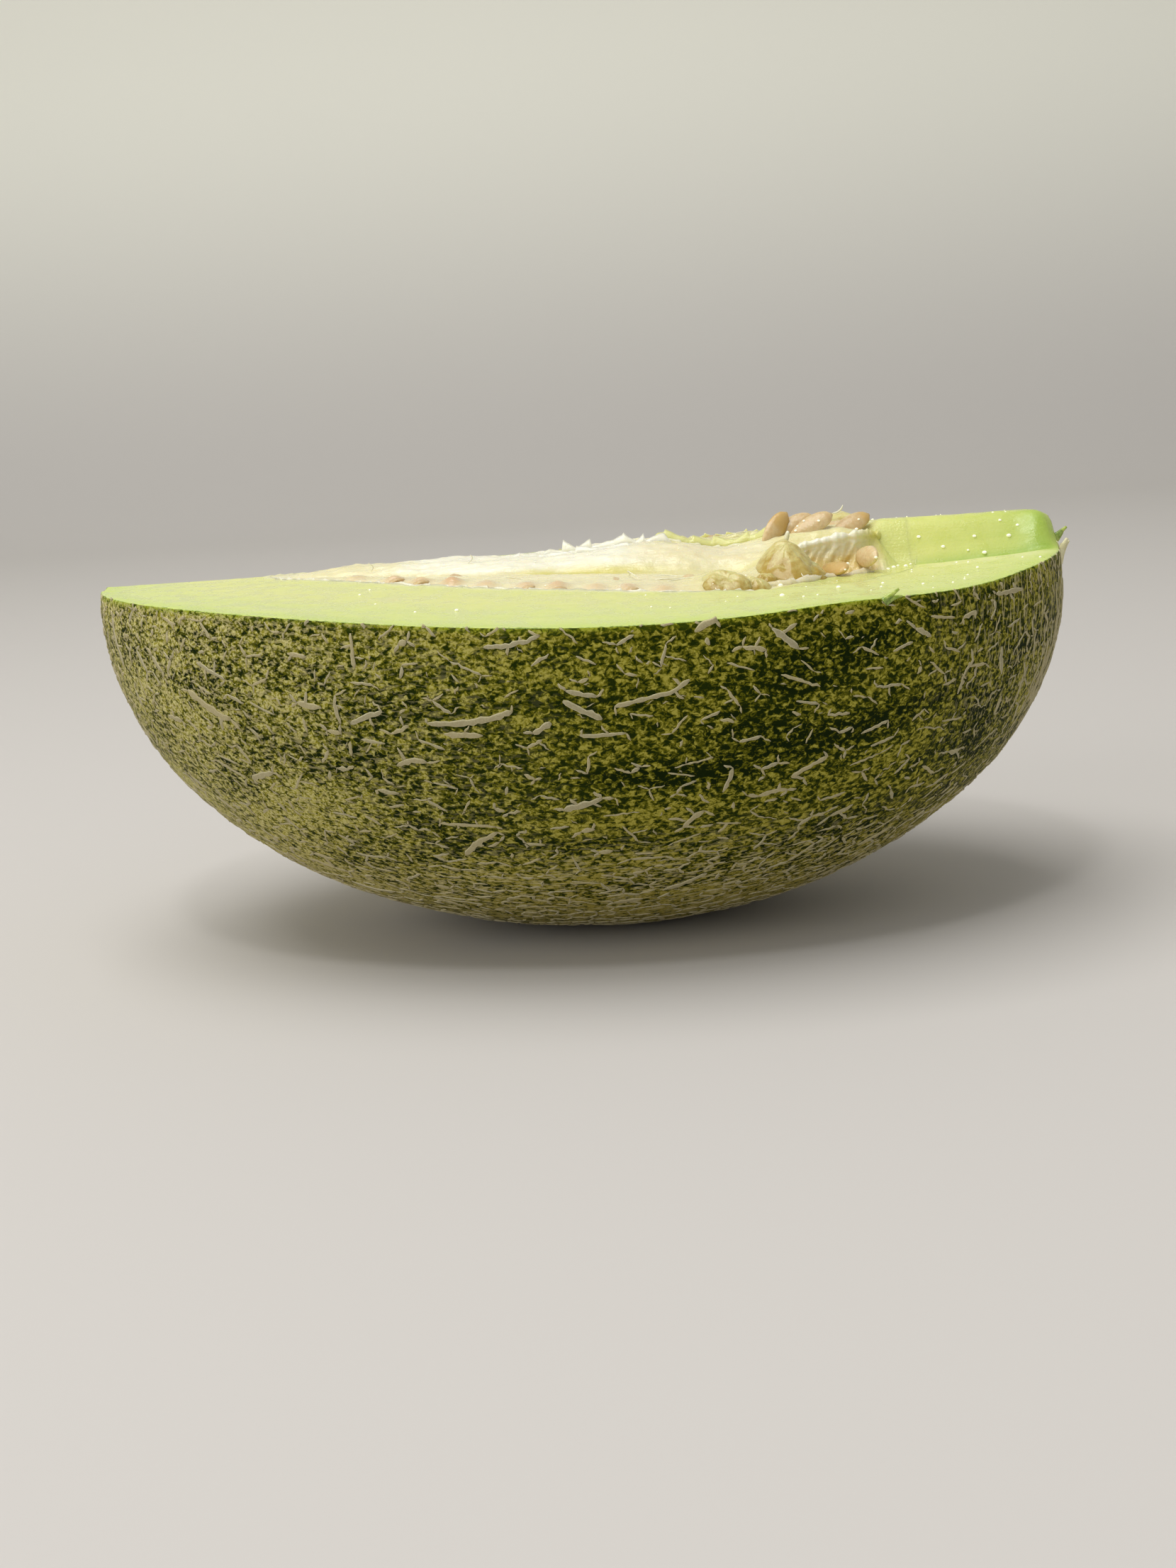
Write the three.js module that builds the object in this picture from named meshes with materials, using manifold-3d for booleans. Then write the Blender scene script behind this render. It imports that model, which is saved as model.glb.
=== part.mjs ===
// Half of an oval netted melon, cut lengthwise by hand and lying rind side down.
// Millimetres, +Z up. +X points along the fruit to its stem end, and -Y to the side that is cut lower.
// The two cuts didn't quite meet: towards the stem end the far half stands higher, behind a step.

import * as THREE from 'three';
import { mergeVertices } from 'three/addons/utils/BufferGeometryUtils.js';
import Module from 'manifold-3d';

const wasm = await Module();
wasm.setup();

// The whole fruit
const FRUIT = { length: 210, width: 138.8, height: 146.8 };
const AXIS_TILT = THREE.MathUtils.degToRad(2.77); // the stem end of the axis lies lower
const AXIS_DROP = 7.9;                            // the fruit's middle below the cut level
const SPOT_DEPTH = 0.6;                           // how deep the flat resting spot is

// The cut face: heights from the cut level at the two rims and along the middle
const NEAR_RIM = { dip: 6.3, growth: 4.0, power: 1.5, stemDip: 3.5, stemFrom: 44, stemFull: 86 };
const FAR_RIM = { dip: 4.3, rise: 3.3, power: 0.5 };
const STEP = { start: 0, full: 62, footDrop: 5.2, topRise: 4.3, footY: -9.5, topY: -1.5 };
const FOOT_RECOVERS = { share: 0.4, from: 66, over: 38 };
const RIDGE_END = { from: 96, to: 104.6, left: 0.25 };

// The seed cavity, a blunt egg round the fruit's axis
const CAVITY = { radius: 41, widestX: 25, toBlossom: 100, toStem: 45, pointed: 1.7, blunt: 3 };

// The pulp that fills it
const GAP = 0.3;
const PULP = { recess: 0.9, shelf: 0.9, shelfWidth: 0.2, crest: 1.0, crestFrom: 0.5, crestFull: 0.14 };
const VALLEY = { at: 0.47, spread: 0.07, depth: 0.9 };
const TEAR = { height: 0.8, spacing: 2.6, calmEdge: 0.25 };
const PEAK = { x: 16, spread: 12, rise: 1.6 };
const STEM_LUMP = { x: 54, y: -3, alongX: 14, alongY: 9, rise: 2.6 };
const JELLY = [
  { x: 43, y: -19, spread: 6, rise: 5.2 },
  { x: 29, y: -30, spread: 6, rise: 2.6 },
  { x: 60, y: 16, spread: 8, rise: 2.2 },
];

// Melon seeds, flat drops
const SEED = { length: 10.5, width: 4.8, thickness: 2.2 };
const SEED_ROWS = [
  { inset: 4.2, spacing: 7.2, lean: 24, sink: 0.2 },
  { inset: 12.5, spacing: 8.8, lean: 14, sink: 0.4 },
];
const ROWS_REACH = { from: -44, to: 50 };
const NEAR_ENDS = [-48, -39, -33, -27, -19, -11, -4.5, 3, 9.5, 17]; // outer ends of the near edge's seeds
const TOP_SEEDS = [
  { x: 42.9, y: -4, z: 3.3, turn: 35, lean: -43, roll: 62 },
  { x: 51, y: -5, z: 3.6, turn: 8, lean: -15, roll: 50 },
  { x: 59.6, y: -4, z: 4.0, turn: 22, lean: -18, roll: 42 },
  { x: 60.9, y: -19.5, z: -2.2, turn: -84, lean: 28, roll: 12 },
  { x: 54, y: -24.5, z: -3.9, turn: -75, lean: 8, roll: -8 },
  { x: 48, y: 7, z: 4.2, turn: 70, lean: 10, roll: 20 },
  { x: 57, y: 9, z: 3.6, turn: 140, lean: 8, roll: -20 },
];

// Torn bits of rind that stand above the rim
const RIM_FLAP = { x: 59.5, inset: 0.9, length: 6.5, height: 2.4, thickness: 0.9, root: 2 };
const END_FLAP = { x: 105, y: -2, width: 7, height: 3.2, thickness: 1.1, root: 2.4 };
const END_REACH = END_FLAP.x + END_FLAP.thickness / 2;

const ROUND = { rind: 60, rindAlong: 32, cavity: 34, cavityAlong: 20 };
const BLOCK = { x: 108, y: 74, top: 40, bottom: -70 };
const FLOOR_BLOCK = { side: 90, depth: 20 };
const FINEST = 0.04; // edges and steps smaller than this are taken out of a finished solid

const clamp = THREE.MathUtils.clamp;
const lerp = THREE.MathUtils.lerp;
const degrees = THREE.MathUtils.degToRad;
const smooth = (from, to, x) => THREE.MathUtils.smoothstep(x, from, to);
const bump = (distance, spread) => Math.exp(-((distance / spread) ** 2));

// A repeatable draw of numbers from 0 to 1
function makeDraw(seed) {
  let state = seed;
  return () => {
    state = (state * 1664525 + 1013904223) % 4294967296;
    return state / 4294967296;
  };
}

// Smooth unevenness from -1 to 1, from four crossed waves
function ripple(x, y, size) {
  const a = Math.sin((x + 0.4 * y) / size);
  const b = Math.sin((0.5 * x - 1.2 * y) / (size * 0.81) + 1.7);
  const c = Math.sin((1.3 * x + 0.9 * y) / (size * 0.67) + 4.2);
  const d = Math.sin((0.9 * x - 0.7 * y) / (size * 1.37) + 2.9);
  return (a + b + c + d) / 4;
}

// Level of the fruit's axis at a place along it
const axisLevel = (x) => -AXIS_DROP - Math.tan(AXIS_TILT) * x;

// Half the width of the fruit at the cut level
function rimHalfWidth(x) {
  const along = Math.cos(AXIS_TILT) * x - Math.sin(AXIS_TILT) * AXIS_DROP;
  const up = Math.sin(AXIS_TILT) * x + Math.cos(AXIS_TILT) * AXIS_DROP;
  const left = 1 - (along / (FRUIT.length / 2)) ** 2 - (up / (FRUIT.height / 2)) ** 2;
  return (FRUIT.width / 2) * Math.sqrt(Math.max(left, 0.0004));
}

// Height of the near cut, which dips to the near rim
function nearCut(x, y) {
  const t = clamp(x / (FRUIT.length / 2), -1, 1);
  const recover = FOOT_RECOVERS.share * clamp((x - FOOT_RECOVERS.from) / FOOT_RECOVERS.over, 0, 1);
  const middle = -STEP.footDrop * smooth(STEP.start, STEP.full, x) * (1 - recover);
  const stemDip = NEAR_RIM.stemDip * smooth(NEAR_RIM.stemFrom, NEAR_RIM.stemFull, x);
  const rim = -(NEAR_RIM.dip + NEAR_RIM.growth * t) * (1 - t * t) ** NEAR_RIM.power - stemDip;
  return lerp(middle, rim, clamp(Math.abs(y) / rimHalfWidth(x), 0, 1.2));
}

// Height of the far cut, which stands proud towards the stem end
function farCut(x, y) {
  const t = clamp(x / (FRUIT.length / 2), -1, 1);
  const along = clamp((x - RIDGE_END.from) / (RIDGE_END.to - RIDGE_END.from), 0, 1);
  const rounding = lerp(RIDGE_END.left, 1, Math.sqrt(1 - along * along));
  const middle = STEP.topRise * smooth(STEP.start, STEP.full, x) * rounding;
  const rim = (-FAR_RIM.dip + FAR_RIM.rise * t) * (1 - t * t) ** FAR_RIM.power;
  return lerp(middle, rim, clamp(Math.abs(y) / rimHalfWidth(x), 0, 1.2));
}

// Height of the cut face, with its step between the two cuts
function cutHeight(x, y) {
  return lerp(nearCut(x, y), farCut(x, y), smooth(STEP.footY, STEP.topY, y));
}

// Radius of the cavity round the fruit's axis
function cavityRadius(x) {
  const blossom = clamp((CAVITY.widestX - x) / CAVITY.toBlossom, 0, 1);
  const stem = clamp((x - CAVITY.widestX) / CAVITY.toStem, 0, 1);
  return CAVITY.radius * (1 - blossom ** CAVITY.pointed) * Math.sqrt(1 - stem ** CAVITY.blunt);
}

// Half the width of the cavity at the cut level
function cavityHalfWidth(x) {
  return Math.sqrt(Math.max(cavityRadius(x) ** 2 - axisLevel(x) ** 2, 0.01));
}

// Top of the pulp: a shelf along each edge, a valley, then a torn crest along the middle
function pulpHeight(x, y) {
  const across = clamp(Math.abs(y) / cavityHalfWidth(x), 0, 1);
  const inside = 1 - across;
  const shelf = PULP.shelf * smooth(0, PULP.shelfWidth, inside);
  const valley = -VALLEY.depth * bump(across - VALLEY.at, VALLEY.spread);
  const crestLevel = PULP.crest + PEAK.rise * bump(x - PEAK.x, PEAK.spread)
    + STEM_LUMP.rise * bump(x - STEM_LUMP.x, STEM_LUMP.alongX) * bump(y - STEM_LUMP.y, STEM_LUMP.alongY);
  const edgeLevel = cutHeight(x, y) - PULP.recess + shelf;
  const level = lerp(edgeLevel, crestLevel, smooth(PULP.crestFrom, PULP.crestFull, across));
  const mounds = JELLY.map((lump) => lump.rise * bump(Math.hypot(x - lump.x, y - lump.y), lump.spread));
  const jelly = mounds.reduce((sum, rise) => sum + rise, 0);
  const torn = TEAR.height * ripple(x, y, TEAR.spacing) * smooth(0.02, TEAR.calmEdge, inside);
  return level + valley + jelly * smooth(0, 0.12, inside) + torn;
}

// A three.js geometry as a boolean solid
function solidOf(geometry, matrix = new THREE.Matrix4()) {
  const bare = geometry.clone().applyMatrix4(matrix);
  bare.deleteAttribute('normal');
  bare.deleteAttribute('uv');
  const merged = mergeVertices(bare, 1e-4);
  return new wasm.Manifold(new wasm.Mesh({
    numProp: 3,
    vertProperties: Float32Array.from(merged.attributes.position.array),
    triVerts: Uint32Array.from(merged.index.array),
  }));
}

// A boolean solid back as a three.js geometry
function geometryOf(solid) {
  const mesh = solid.getMesh();
  const geometry = new THREE.BufferGeometry();
  geometry.setAttribute('position', new THREE.BufferAttribute(Float32Array.from(mesh.vertProperties), 3));
  geometry.setIndex(new THREE.BufferAttribute(Uint32Array.from(mesh.triVerts), 1));
  geometry.computeVertexNormals();
  return geometry;
}

const place = (x, y, z, turn = new THREE.Euler()) => new THREE.Matrix4()
  .compose(new THREE.Vector3(x, y, z), new THREE.Quaternion().setFromEuler(turn), new THREE.Vector3(1, 1, 1));

// A block whose one wide face follows a height, and whose other lies flat at a level
function reliefBlock(columns, rows, height, level) {
  const geometry = new THREE.BoxGeometry(1, 1, 1, columns.length - 1, rows.length - 1, 1);
  const position = geometry.attributes.position;
  for (let i = 0; i < position.count; i += 1) {
    const x = columns[Math.round((position.getX(i) + 0.5) * (columns.length - 1))];
    const y = rows[Math.round((position.getY(i) + 0.5) * (rows.length - 1))];
    const upper = position.getZ(i) > 0;
    const follows = upper === (level < 0);
    position.setXYZ(i, x, y, follows ? height(x, y) : level);
  }
  return solidOf(geometry);
}

// Evenly spaced stations from one end to the other, both included
function stations(from, to, count) {
  return Array.from({ length: count + 1 }, (_, i) => lerp(from, to, i / count));
}

// Everything above the cut face
function aboveCut() {
  const columns = [...stations(-BLOCK.x, 92, 38), ...stations(94.5, BLOCK.x, 7)];
  const rows = [...stations(-BLOCK.y, -18, 9), ...stations(-14, 2, 8), ...stations(8, BLOCK.y, 9)];
  return reliefBlock(columns, rows, cutHeight, BLOCK.top);
}

// Everything below the top of the pulp
function belowPulpTop() {
  const columns = stations(-70, 74, 50);
  const rows = stations(-46, 46, 32);
  return reliefBlock(columns, rows, pulpHeight, BLOCK.bottom);
}

// The fruit's egg, its vertices in rings round the tilted axis
function wholeFruit() {
  const geometry = new THREE.SphereGeometry(1, ROUND.rind, ROUND.rindAlong);
  const axisToX = new THREE.Matrix4().makeRotationZ(-Math.PI / 2);
  const size = new THREE.Matrix4().makeScale(FRUIT.length / 2, FRUIT.width / 2, FRUIT.height / 2);
  const tilt = place(0, 0, -AXIS_DROP, new THREE.Euler(0, AXIS_TILT, 0));
  return solidOf(geometry, tilt.multiply(size).multiply(axisToX));
}

// The cavity, or a smaller copy of it that leaves a gap all round
function cavityBody(gap) {
  const from = CAVITY.widestX - CAVITY.toBlossom;
  const to = CAVITY.widestX + CAVITY.toStem;
  const outline = stations(0, 1, ROUND.cavityAlong).map((part) => {
    const x = lerp(from, to, (1 - Math.cos(Math.PI * part)) / 2);
    const inner = lerp(from + 2 * gap, to - gap, (x - from) / (to - from));
    const onAxis = part === 0 || part === 1;
    return new THREE.Vector2(onAxis ? 0 : Math.max(cavityRadius(x) - gap, 0.05), inner);
  });
  const geometry = new THREE.LatheGeometry(outline, ROUND.cavity);
  const axisToX = new THREE.Matrix4().makeRotationZ(-Math.PI / 2);
  const tilt = place(0, 0, -AXIS_DROP, new THREE.Euler(0, AXIS_TILT, 0));
  return solidOf(geometry, tilt.multiply(axisToX));
}

// A thin upright piece: its outline stands on the heading, and its thickness lies across it
function standing(points, thickness, x, y, z, heading) {
  const outline = new THREE.Shape(points.map(([along, up]) => new THREE.Vector2(along, up)));
  const geometry = new THREE.ExtrudeGeometry(outline, { depth: thickness, bevelEnabled: false });
  const along = new THREE.Vector3(Math.cos(heading), Math.sin(heading), 0);
  const up = new THREE.Vector3(0, 0, 1);
  const across = along.clone().cross(up);
  const upright = new THREE.Matrix4().makeBasis(along, up, across);
  upright.setPosition(new THREE.Vector3(x, y, z).addScaledVector(across, -thickness / 2));
  return solidOf(geometry, upright);
}

// A strip of rind that was torn along the near rim and curls up from it, highest at its stem end
function rimFlap() {
  const { x, inset, length, height, thickness, root } = RIM_FLAP;
  const y = -rimHalfWidth(x) + inset;
  const heading = Math.atan2(rimHalfWidth(x) - rimHalfWidth(x + 1), 1);
  const points = [
    [-length / 2, -root],
    [length / 2, -root],
    [length / 2, height],
    [length * 0.2, height * 0.35],
    [-length / 2, 0.2],
  ];
  return standing(points, thickness, x, y, cutHeight(x, y), heading);
}

// The point of rind left standing at the stem end
function endFlap() {
  const { x, y, width, height, thickness, root } = END_FLAP;
  const points = [
    [-width / 2, -root],
    [width / 2, -root],
    [width / 2, height * 0.3],
    [width * 0.1, height * 0.45],
    [-width * 0.2, height],
    [-width / 2, height * 0.35],
  ];
  return standing(points, thickness, x, y, cutHeight(x, y), Math.PI / 2);
}

// One seed at its place: turned about Z, leaned along its length and rolled about it
function seedAt({ x, y, z, turn, lean, roll }) {
  const geometry = new THREE.OctahedronGeometry(1, 1);
  const size = new THREE.Matrix4().makeScale(SEED.length / 2, SEED.width / 2, SEED.thickness / 2);
  const turned = new THREE.Euler(degrees(roll), degrees(lean), degrees(turn), 'ZYX');
  return solidOf(geometry, place(x, y, z, turned).multiply(size));
}

// Where a row's outer ends lie along the fruit: as listed at the near edge, evenly spread elsewhere
function rowEnds(row, side, draw) {
  if (side < 0 && row === SEED_ROWS[0]) {
    return NEAR_ENDS;
  }
  const ends = [];
  for (let x = ROWS_REACH.from; x < ROWS_REACH.to; x += row.spacing * lerp(0.85, 1.15, draw())) {
    ends.push(x);
  }
  return ends;
}

// Seeds in rows inside the cavity's edge, one set on each side, their outer ends lowest
function rowSeeds() {
  const draw = makeDraw(41);
  const seeds = [];
  for (const side of [-1, 1]) {
    for (const row of SEED_ROWS) {
      for (const end of rowEnds(row, side, draw)) {
        const turn = side * lerp(65, 100, draw());
        const x = end - (SEED.length / 2) * Math.cos(degrees(turn));
        const reach = cavityHalfWidth(x) - row.inset;
        const y = side * (reach + lerp(-0.8, 0.8, draw()));
        const z = pulpHeight(x, y) - row.sink;
        const crowded = JELLY.some((lump) => Math.hypot(x - lump.x, y - lump.y) < lump.spread * 0.8);
        if (reach > row.inset * 0.8 && !crowded) {
          seeds.push({ x, y, z, turn, lean: row.lean * lerp(0.6, 1.2, draw()), roll: lerp(-25, 25, draw()) });
        }
      }
    }
  }
  return seeds;
}

function fleshSolid() {
  const spotLevel = lowestLevel() + SPOT_DEPTH;
  const { side, depth } = FLOOR_BLOCK;
  const floorBlock = solidOf(new THREE.BoxGeometry(side, side, depth), place(0, 0, spotLevel - depth / 2));
  return wholeFruit()
    .subtract(aboveCut())
    .subtract(cavityBody(0))
    .add(rimFlap())
    .add(endFlap())
    .subtract(floorBlock);
}

function pulpSolid() {
  const seeds = [...rowSeeds(), ...TOP_SEEDS].map(seedAt);
  const mass = cavityBody(GAP).intersect(belowPulpTop());
  const heap = seeds.reduce((sum, seed) => sum.add(seed), mass);
  return heap.subtract(fleshClearance());
}

// Keeps the seeds that reach over the cavity's edge a gap away from the flesh
function fleshClearance() {
  const rim = wholeFruit().subtract(aboveCut().translate(0, 0, GAP));
  return rim.subtract(cavityBody(GAP));
}

// How far the tilted egg reaches along X, each way
function endReach() {
  return Math.hypot(Math.cos(AXIS_TILT) * (FRUIT.length / 2), Math.sin(AXIS_TILT) * (FRUIT.height / 2));
}

// The lowest point of the tilted egg
function lowestLevel() {
  const end = Math.sin(AXIS_TILT) * (FRUIT.length / 2);
  const side = Math.cos(AXIS_TILT) * (FRUIT.height / 2);
  return -AXIS_DROP - Math.hypot(end, side);
}

// The largest of the bodies that a solid is made of
function mainBody(solid) {
  const bodies = solid.simplify(FINEST).decompose();
  return bodies.reduce((best, body) => (body.volume() > best.volume() ? body : best));
}

function mesh(name, solid, colour, roughness) {
  const material = new THREE.MeshStandardMaterial({ color: colour, roughness, metalness: 0 });
  const piece = new THREE.Mesh(geometryOf(mainBody(solid)), material);
  piece.name = name;
  return piece;
}

const melonHalf = new THREE.Group();
melonHalf.position.x = (endReach() - END_REACH) / 2;
melonHalf.position.z = -(lowestLevel() + SPOT_DEPTH);
melonHalf.add(mesh('flesh', fleshSolid(), 0x6b6f2c, 0.55));
melonHalf.add(mesh('seed_pulp', pulpSolid(), 0xede2bd, 0.45));

export default melonHalf;
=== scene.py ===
"""Half of an oval netted melon, dressed for its portrait.

The rind, the cut flesh, the cork net, the seed pulp, seeds, jelly, threads and juice are modelled meshes
in millimetres round the fruit's cut level. The last step of each moves them into the frame, in metres.
"""

import logging
import math
from dataclasses import dataclass, field, replace
from enum import Enum
from typing import NamedTuple

import bmesh
import bpy
import numpy as np
from mathutils import Matrix, Vector


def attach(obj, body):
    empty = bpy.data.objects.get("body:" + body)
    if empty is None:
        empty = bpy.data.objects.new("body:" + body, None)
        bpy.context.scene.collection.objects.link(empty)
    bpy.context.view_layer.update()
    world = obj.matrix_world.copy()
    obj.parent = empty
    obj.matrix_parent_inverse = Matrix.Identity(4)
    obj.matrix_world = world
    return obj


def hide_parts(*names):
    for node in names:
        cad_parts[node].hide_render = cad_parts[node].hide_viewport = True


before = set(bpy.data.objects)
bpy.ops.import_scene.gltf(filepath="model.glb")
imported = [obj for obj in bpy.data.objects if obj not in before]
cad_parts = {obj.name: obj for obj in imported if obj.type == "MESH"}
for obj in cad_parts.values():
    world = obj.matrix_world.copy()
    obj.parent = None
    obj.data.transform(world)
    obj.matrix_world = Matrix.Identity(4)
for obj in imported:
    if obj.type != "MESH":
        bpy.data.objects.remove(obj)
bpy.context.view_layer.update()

MILLIMETRE = 0.001
FAR = 50.0
LOG = logging.getLogger("melon")

Array = np.ndarray
Draw = np.random.Generator
Piece = bpy.types.Object
Socket = bpy.types.NodeSocket
Sockets = bpy.types.bpy_prop_collection
Colour = tuple[float, float, float]
Place = tuple[float, float, float]
Pair = tuple[float, float]


def smooth(low: float, high: float, value: Array) -> Array:
    """Rise from 0 at low to 1 at high, level at both ends.

    Args:
        low: Where the rise starts, which may lie above high.
        high: Where it ends.
        value: The numbers to map.

    Returns:
        Numbers from 0 to 1.
    """
    part = np.clip((value - low) / (high - low), 0, 1)
    return part * part * (3 - 2 * part)


def bump(distance: Array, spread: float) -> Array:
    """Bell curve that is 1 at no distance and fades over the spread."""
    return np.exp(-((distance / spread) ** 2))


def mix(first: Array, second: Array, part: Array) -> Array:
    """Blend from first to second."""
    return first + (second - first) * part


def unit(ways: Array) -> Array:
    """Scale directions to length 1."""
    return ways / np.maximum(np.linalg.norm(ways, axis=-1, keepdims=True), 1e-9)


def together(*parts: Array) -> Array:
    """Join coordinates, or plain numbers, into points."""
    return np.stack(np.broadcast_arrays(*parts), axis=-1)


def linear(red: int, green: int, blue: int) -> Colour:
    """Turn a colour as seen on a screen, 0 to 255, into the linear values that materials use."""
    parts = [value / 255 for value in (red, green, blue)]
    return tuple(v / 12.92 if v <= 0.04045 else ((v + 0.055) / 1.055) ** 2.4 for v in parts)


class Unevenness:
    """Repeatable gradient noise in three dimensions."""

    def __init__(self, seed: int) -> None:
        """Draw the lattice of directions.

        Args:
            seed: Number that picks the pattern.
        """
        draw = np.random.default_rng(seed)
        self.order = draw.permutation(256)
        self.ways = unit(draw.normal(size=(256, 3)))

    def at(self, points: Array, size: float) -> Array:
        """Read the noise.

        Args:
            points: Places, of shape (..., 3).
            size: Width of one bump.

        Returns:
            Values from about -1 to 1.
        """
        scaled = np.asarray(points, dtype=float) / size
        cell = np.floor(scaled).astype(int)
        inner = scaled - cell
        fade = inner ** 3 * (inner * (inner * 6 - 15) + 10)
        total = np.zeros(scaled.shape[:-1])
        for corner in np.ndindex(2, 2, 2):
            key = np.zeros(scaled.shape[:-1], dtype=int)
            weight = np.ones(scaled.shape[:-1])
            for axis in range(3):
                key = self.order[(key + cell[..., axis] + corner[axis]) % 256]
                part = fade[..., axis]
                weight = weight * (part if corner[axis] else 1 - part)
            total += weight * np.sum(self.ways[key] * (inner - np.array(corner)), axis=-1)
        return total * 1.6

    def layered(self, points: Array, size: float, layers: int, falloff: float = 0.5) -> Array:
        """Sum several sizes of the noise.

        Args:
            points: Places, of shape (..., 3).
            size: Width of the largest bumps.
            layers: How many sizes, each half the one before.
            falloff: Strength of each size against the one before.

        Returns:
            Values from about -1 to 1.
        """
        sizes = [size / 2 ** layer for layer in range(layers)]
        weights = [falloff ** layer for layer in range(layers)]
        shift = np.array([17.3, 5.1, 9.7])
        parts = [w * self.at(points + shift * i, s) for i, (s, w) in enumerate(zip(sizes, weights))]
        return sum(parts) / sum(weights)


class Lump(NamedTuple):
    """A mound, or a hollow where it sinks, on a surface."""

    x: float
    y: float
    spread: float
    rise: float

    def share(self, x: Array, y: Array, wider: float = 1) -> Array:
        """Nearness to its middle, from 0 to 1."""
        return bump(np.hypot(x - self.x, y - self.y), self.spread * wider)

    def at(self, x: Array, y: Array) -> Array:
        """Height it adds."""
        return self.rise * self.share(x, y)


@dataclass(frozen=True)
class MelonForm:
    """The driving sizes of the melon, in millimetres, and the surfaces worked out from them."""

    length: float = 210
    width: float = 138.8
    height: float = 146.8
    axis_tilt: float = math.radians(2.77)
    axis_drop: float = 7.9
    spot_depth: float = 0.6
    flap_reach: float = 105.55
    near_dip: float = 6.3
    near_growth: float = 4
    near_power: float = 1.5
    near_stem_dip: float = 3.5
    near_stem_reach: Pair = (44, 86)
    far_dip: float = 4.3
    far_rise: float = 3.3
    far_power: float = 0.5
    step_full: float = 62
    step_foot_drop: float = 5.2
    step_recover: float = 0.4
    step_recover_from: float = 66
    step_recover_length: float = 38
    step_top_rise: float = 4.3
    step_foot_y: float = -9.5
    step_top_y: float = -1.5
    ridge_end: Pair = (96, 104.6)
    ridge_left: float = 0.25
    cavity_radius_most: float = 41
    cavity_widest: float = 25
    cavity_to_blossom: float = 100
    cavity_to_stem: float = 45
    blossom_power: float = 1.7
    stem_power: int = 3
    pulp_recess: float = 0.9
    pulp_shelf: float = 0.9
    pulp_crest: float = 1
    valley_at: float = 0.42
    valley_depth: float = 0.9
    valley_spread: float = 0.07
    peak_x: float = 16
    peak_rise: float = 1.6
    peak_spread: float = 12
    stem_lump: Pair = (54, -3)
    jelly: tuple[Lump, ...] = (
        Lump(43, -19, 6, 5.2),
        Lump(29, -30, 6, 2.6),
        Lump(60, 16, 8, 2.2),
    )

    @property
    def radii(self) -> Array:
        """Half the length, width and height of the whole fruit."""
        return np.array([self.length, self.width, self.height]) / 2

    @property
    def lowest(self) -> float:
        """Height of the resting spot."""
        deep = np.linalg.norm(self.radii * self.tilt[2])
        return self.spot_depth - self.axis_drop - deep

    @property
    def place(self) -> Array:
        """Shift from the cut level's middle into the frame, in millimetres."""
        reach = np.linalg.norm(self.radii * self.tilt[0])
        return np.array([(reach - self.flap_reach) / 2, 0, -self.lowest])

    def in_frame(self, points: Array) -> Array:
        """Move points from millimetres round the cut level to metres in the frame."""
        return (np.asarray(points) + self.place) * MILLIMETRE

    @property
    def tilt(self) -> Array:
        """Matrix that turns the egg's own axes to the level ones."""
        cos, sin = math.cos(self.axis_tilt), math.sin(self.axis_tilt)
        return np.array([[cos, 0, sin], [0, 1, 0], [-sin, 0, cos]])

    def out_of_axes(self, points: Array) -> Array:
        """Turn points from the egg's own axes to the level ones."""
        return points @ self.tilt.T - np.array([0, 0, self.axis_drop])

    def into_axes(self, points: Array) -> Array:
        """Turn points from the level axes to the egg's own."""
        return (points + np.array([0, 0, self.axis_drop])) @ self.tilt

    def outward(self, own: Array) -> Array:
        """Direction straight out of the skin, in the egg's axes."""
        return unit(own / self.radii ** 2)

    def on_skin(self, own: Array) -> Array:
        """Pull points in the egg's axes to the skin."""
        return own / np.sqrt(np.sum((own / self.radii) ** 2, axis=-1, keepdims=True))

    def skin_depth(self, points: Array) -> Array:
        """How deep points lie under the skin.

        Args:
            points: Points in level axes.

        Returns:
            Depths in millimetres.
        """
        own = self.into_axes(points)
        share = np.sqrt(np.sum((own / self.radii) ** 2, axis=-1))
        slope = np.linalg.norm(own / self.radii ** 2, axis=-1) / np.maximum(share, 1e-6)
        return (1 - share) / np.maximum(slope, 1e-6)

    def rim_half_width(self, x: Array) -> Array:
        """Half the fruit's width at the cut level.

        Args:
            x: Places along the fruit.

        Returns:
            Half widths.
        """
        own = self.into_axes(together(x, 0, 0)) / self.radii
        return self.radii[1] * np.sqrt(np.maximum(1 - np.sum(own ** 2, axis=-1), 0.0004))

    def near_cut(self, x: Array, y: Array) -> Array:
        """Height of the near cut, which dips to the near rim.

        Args:
            x: Places along the fruit.
            y: Places across it.

        Returns:
            Heights round the cut level.
        """
        along = np.clip(x / self.radii[0], -1, 1)
        recovered = (x - self.step_recover_from) / self.step_recover_length
        recover = self.step_recover * np.clip(recovered, 0, 1)
        middle = -self.step_foot_drop * smooth(0, self.step_full, x) * (1 - recover)
        rim = -(self.near_dip + self.near_growth * along) * (1 - along ** 2) ** self.near_power
        rim = rim - self.near_stem_dip * smooth(*self.near_stem_reach, x)
        return mix(middle, rim, np.clip(np.abs(y) / self.rim_half_width(x), 0, 1.2))

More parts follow.
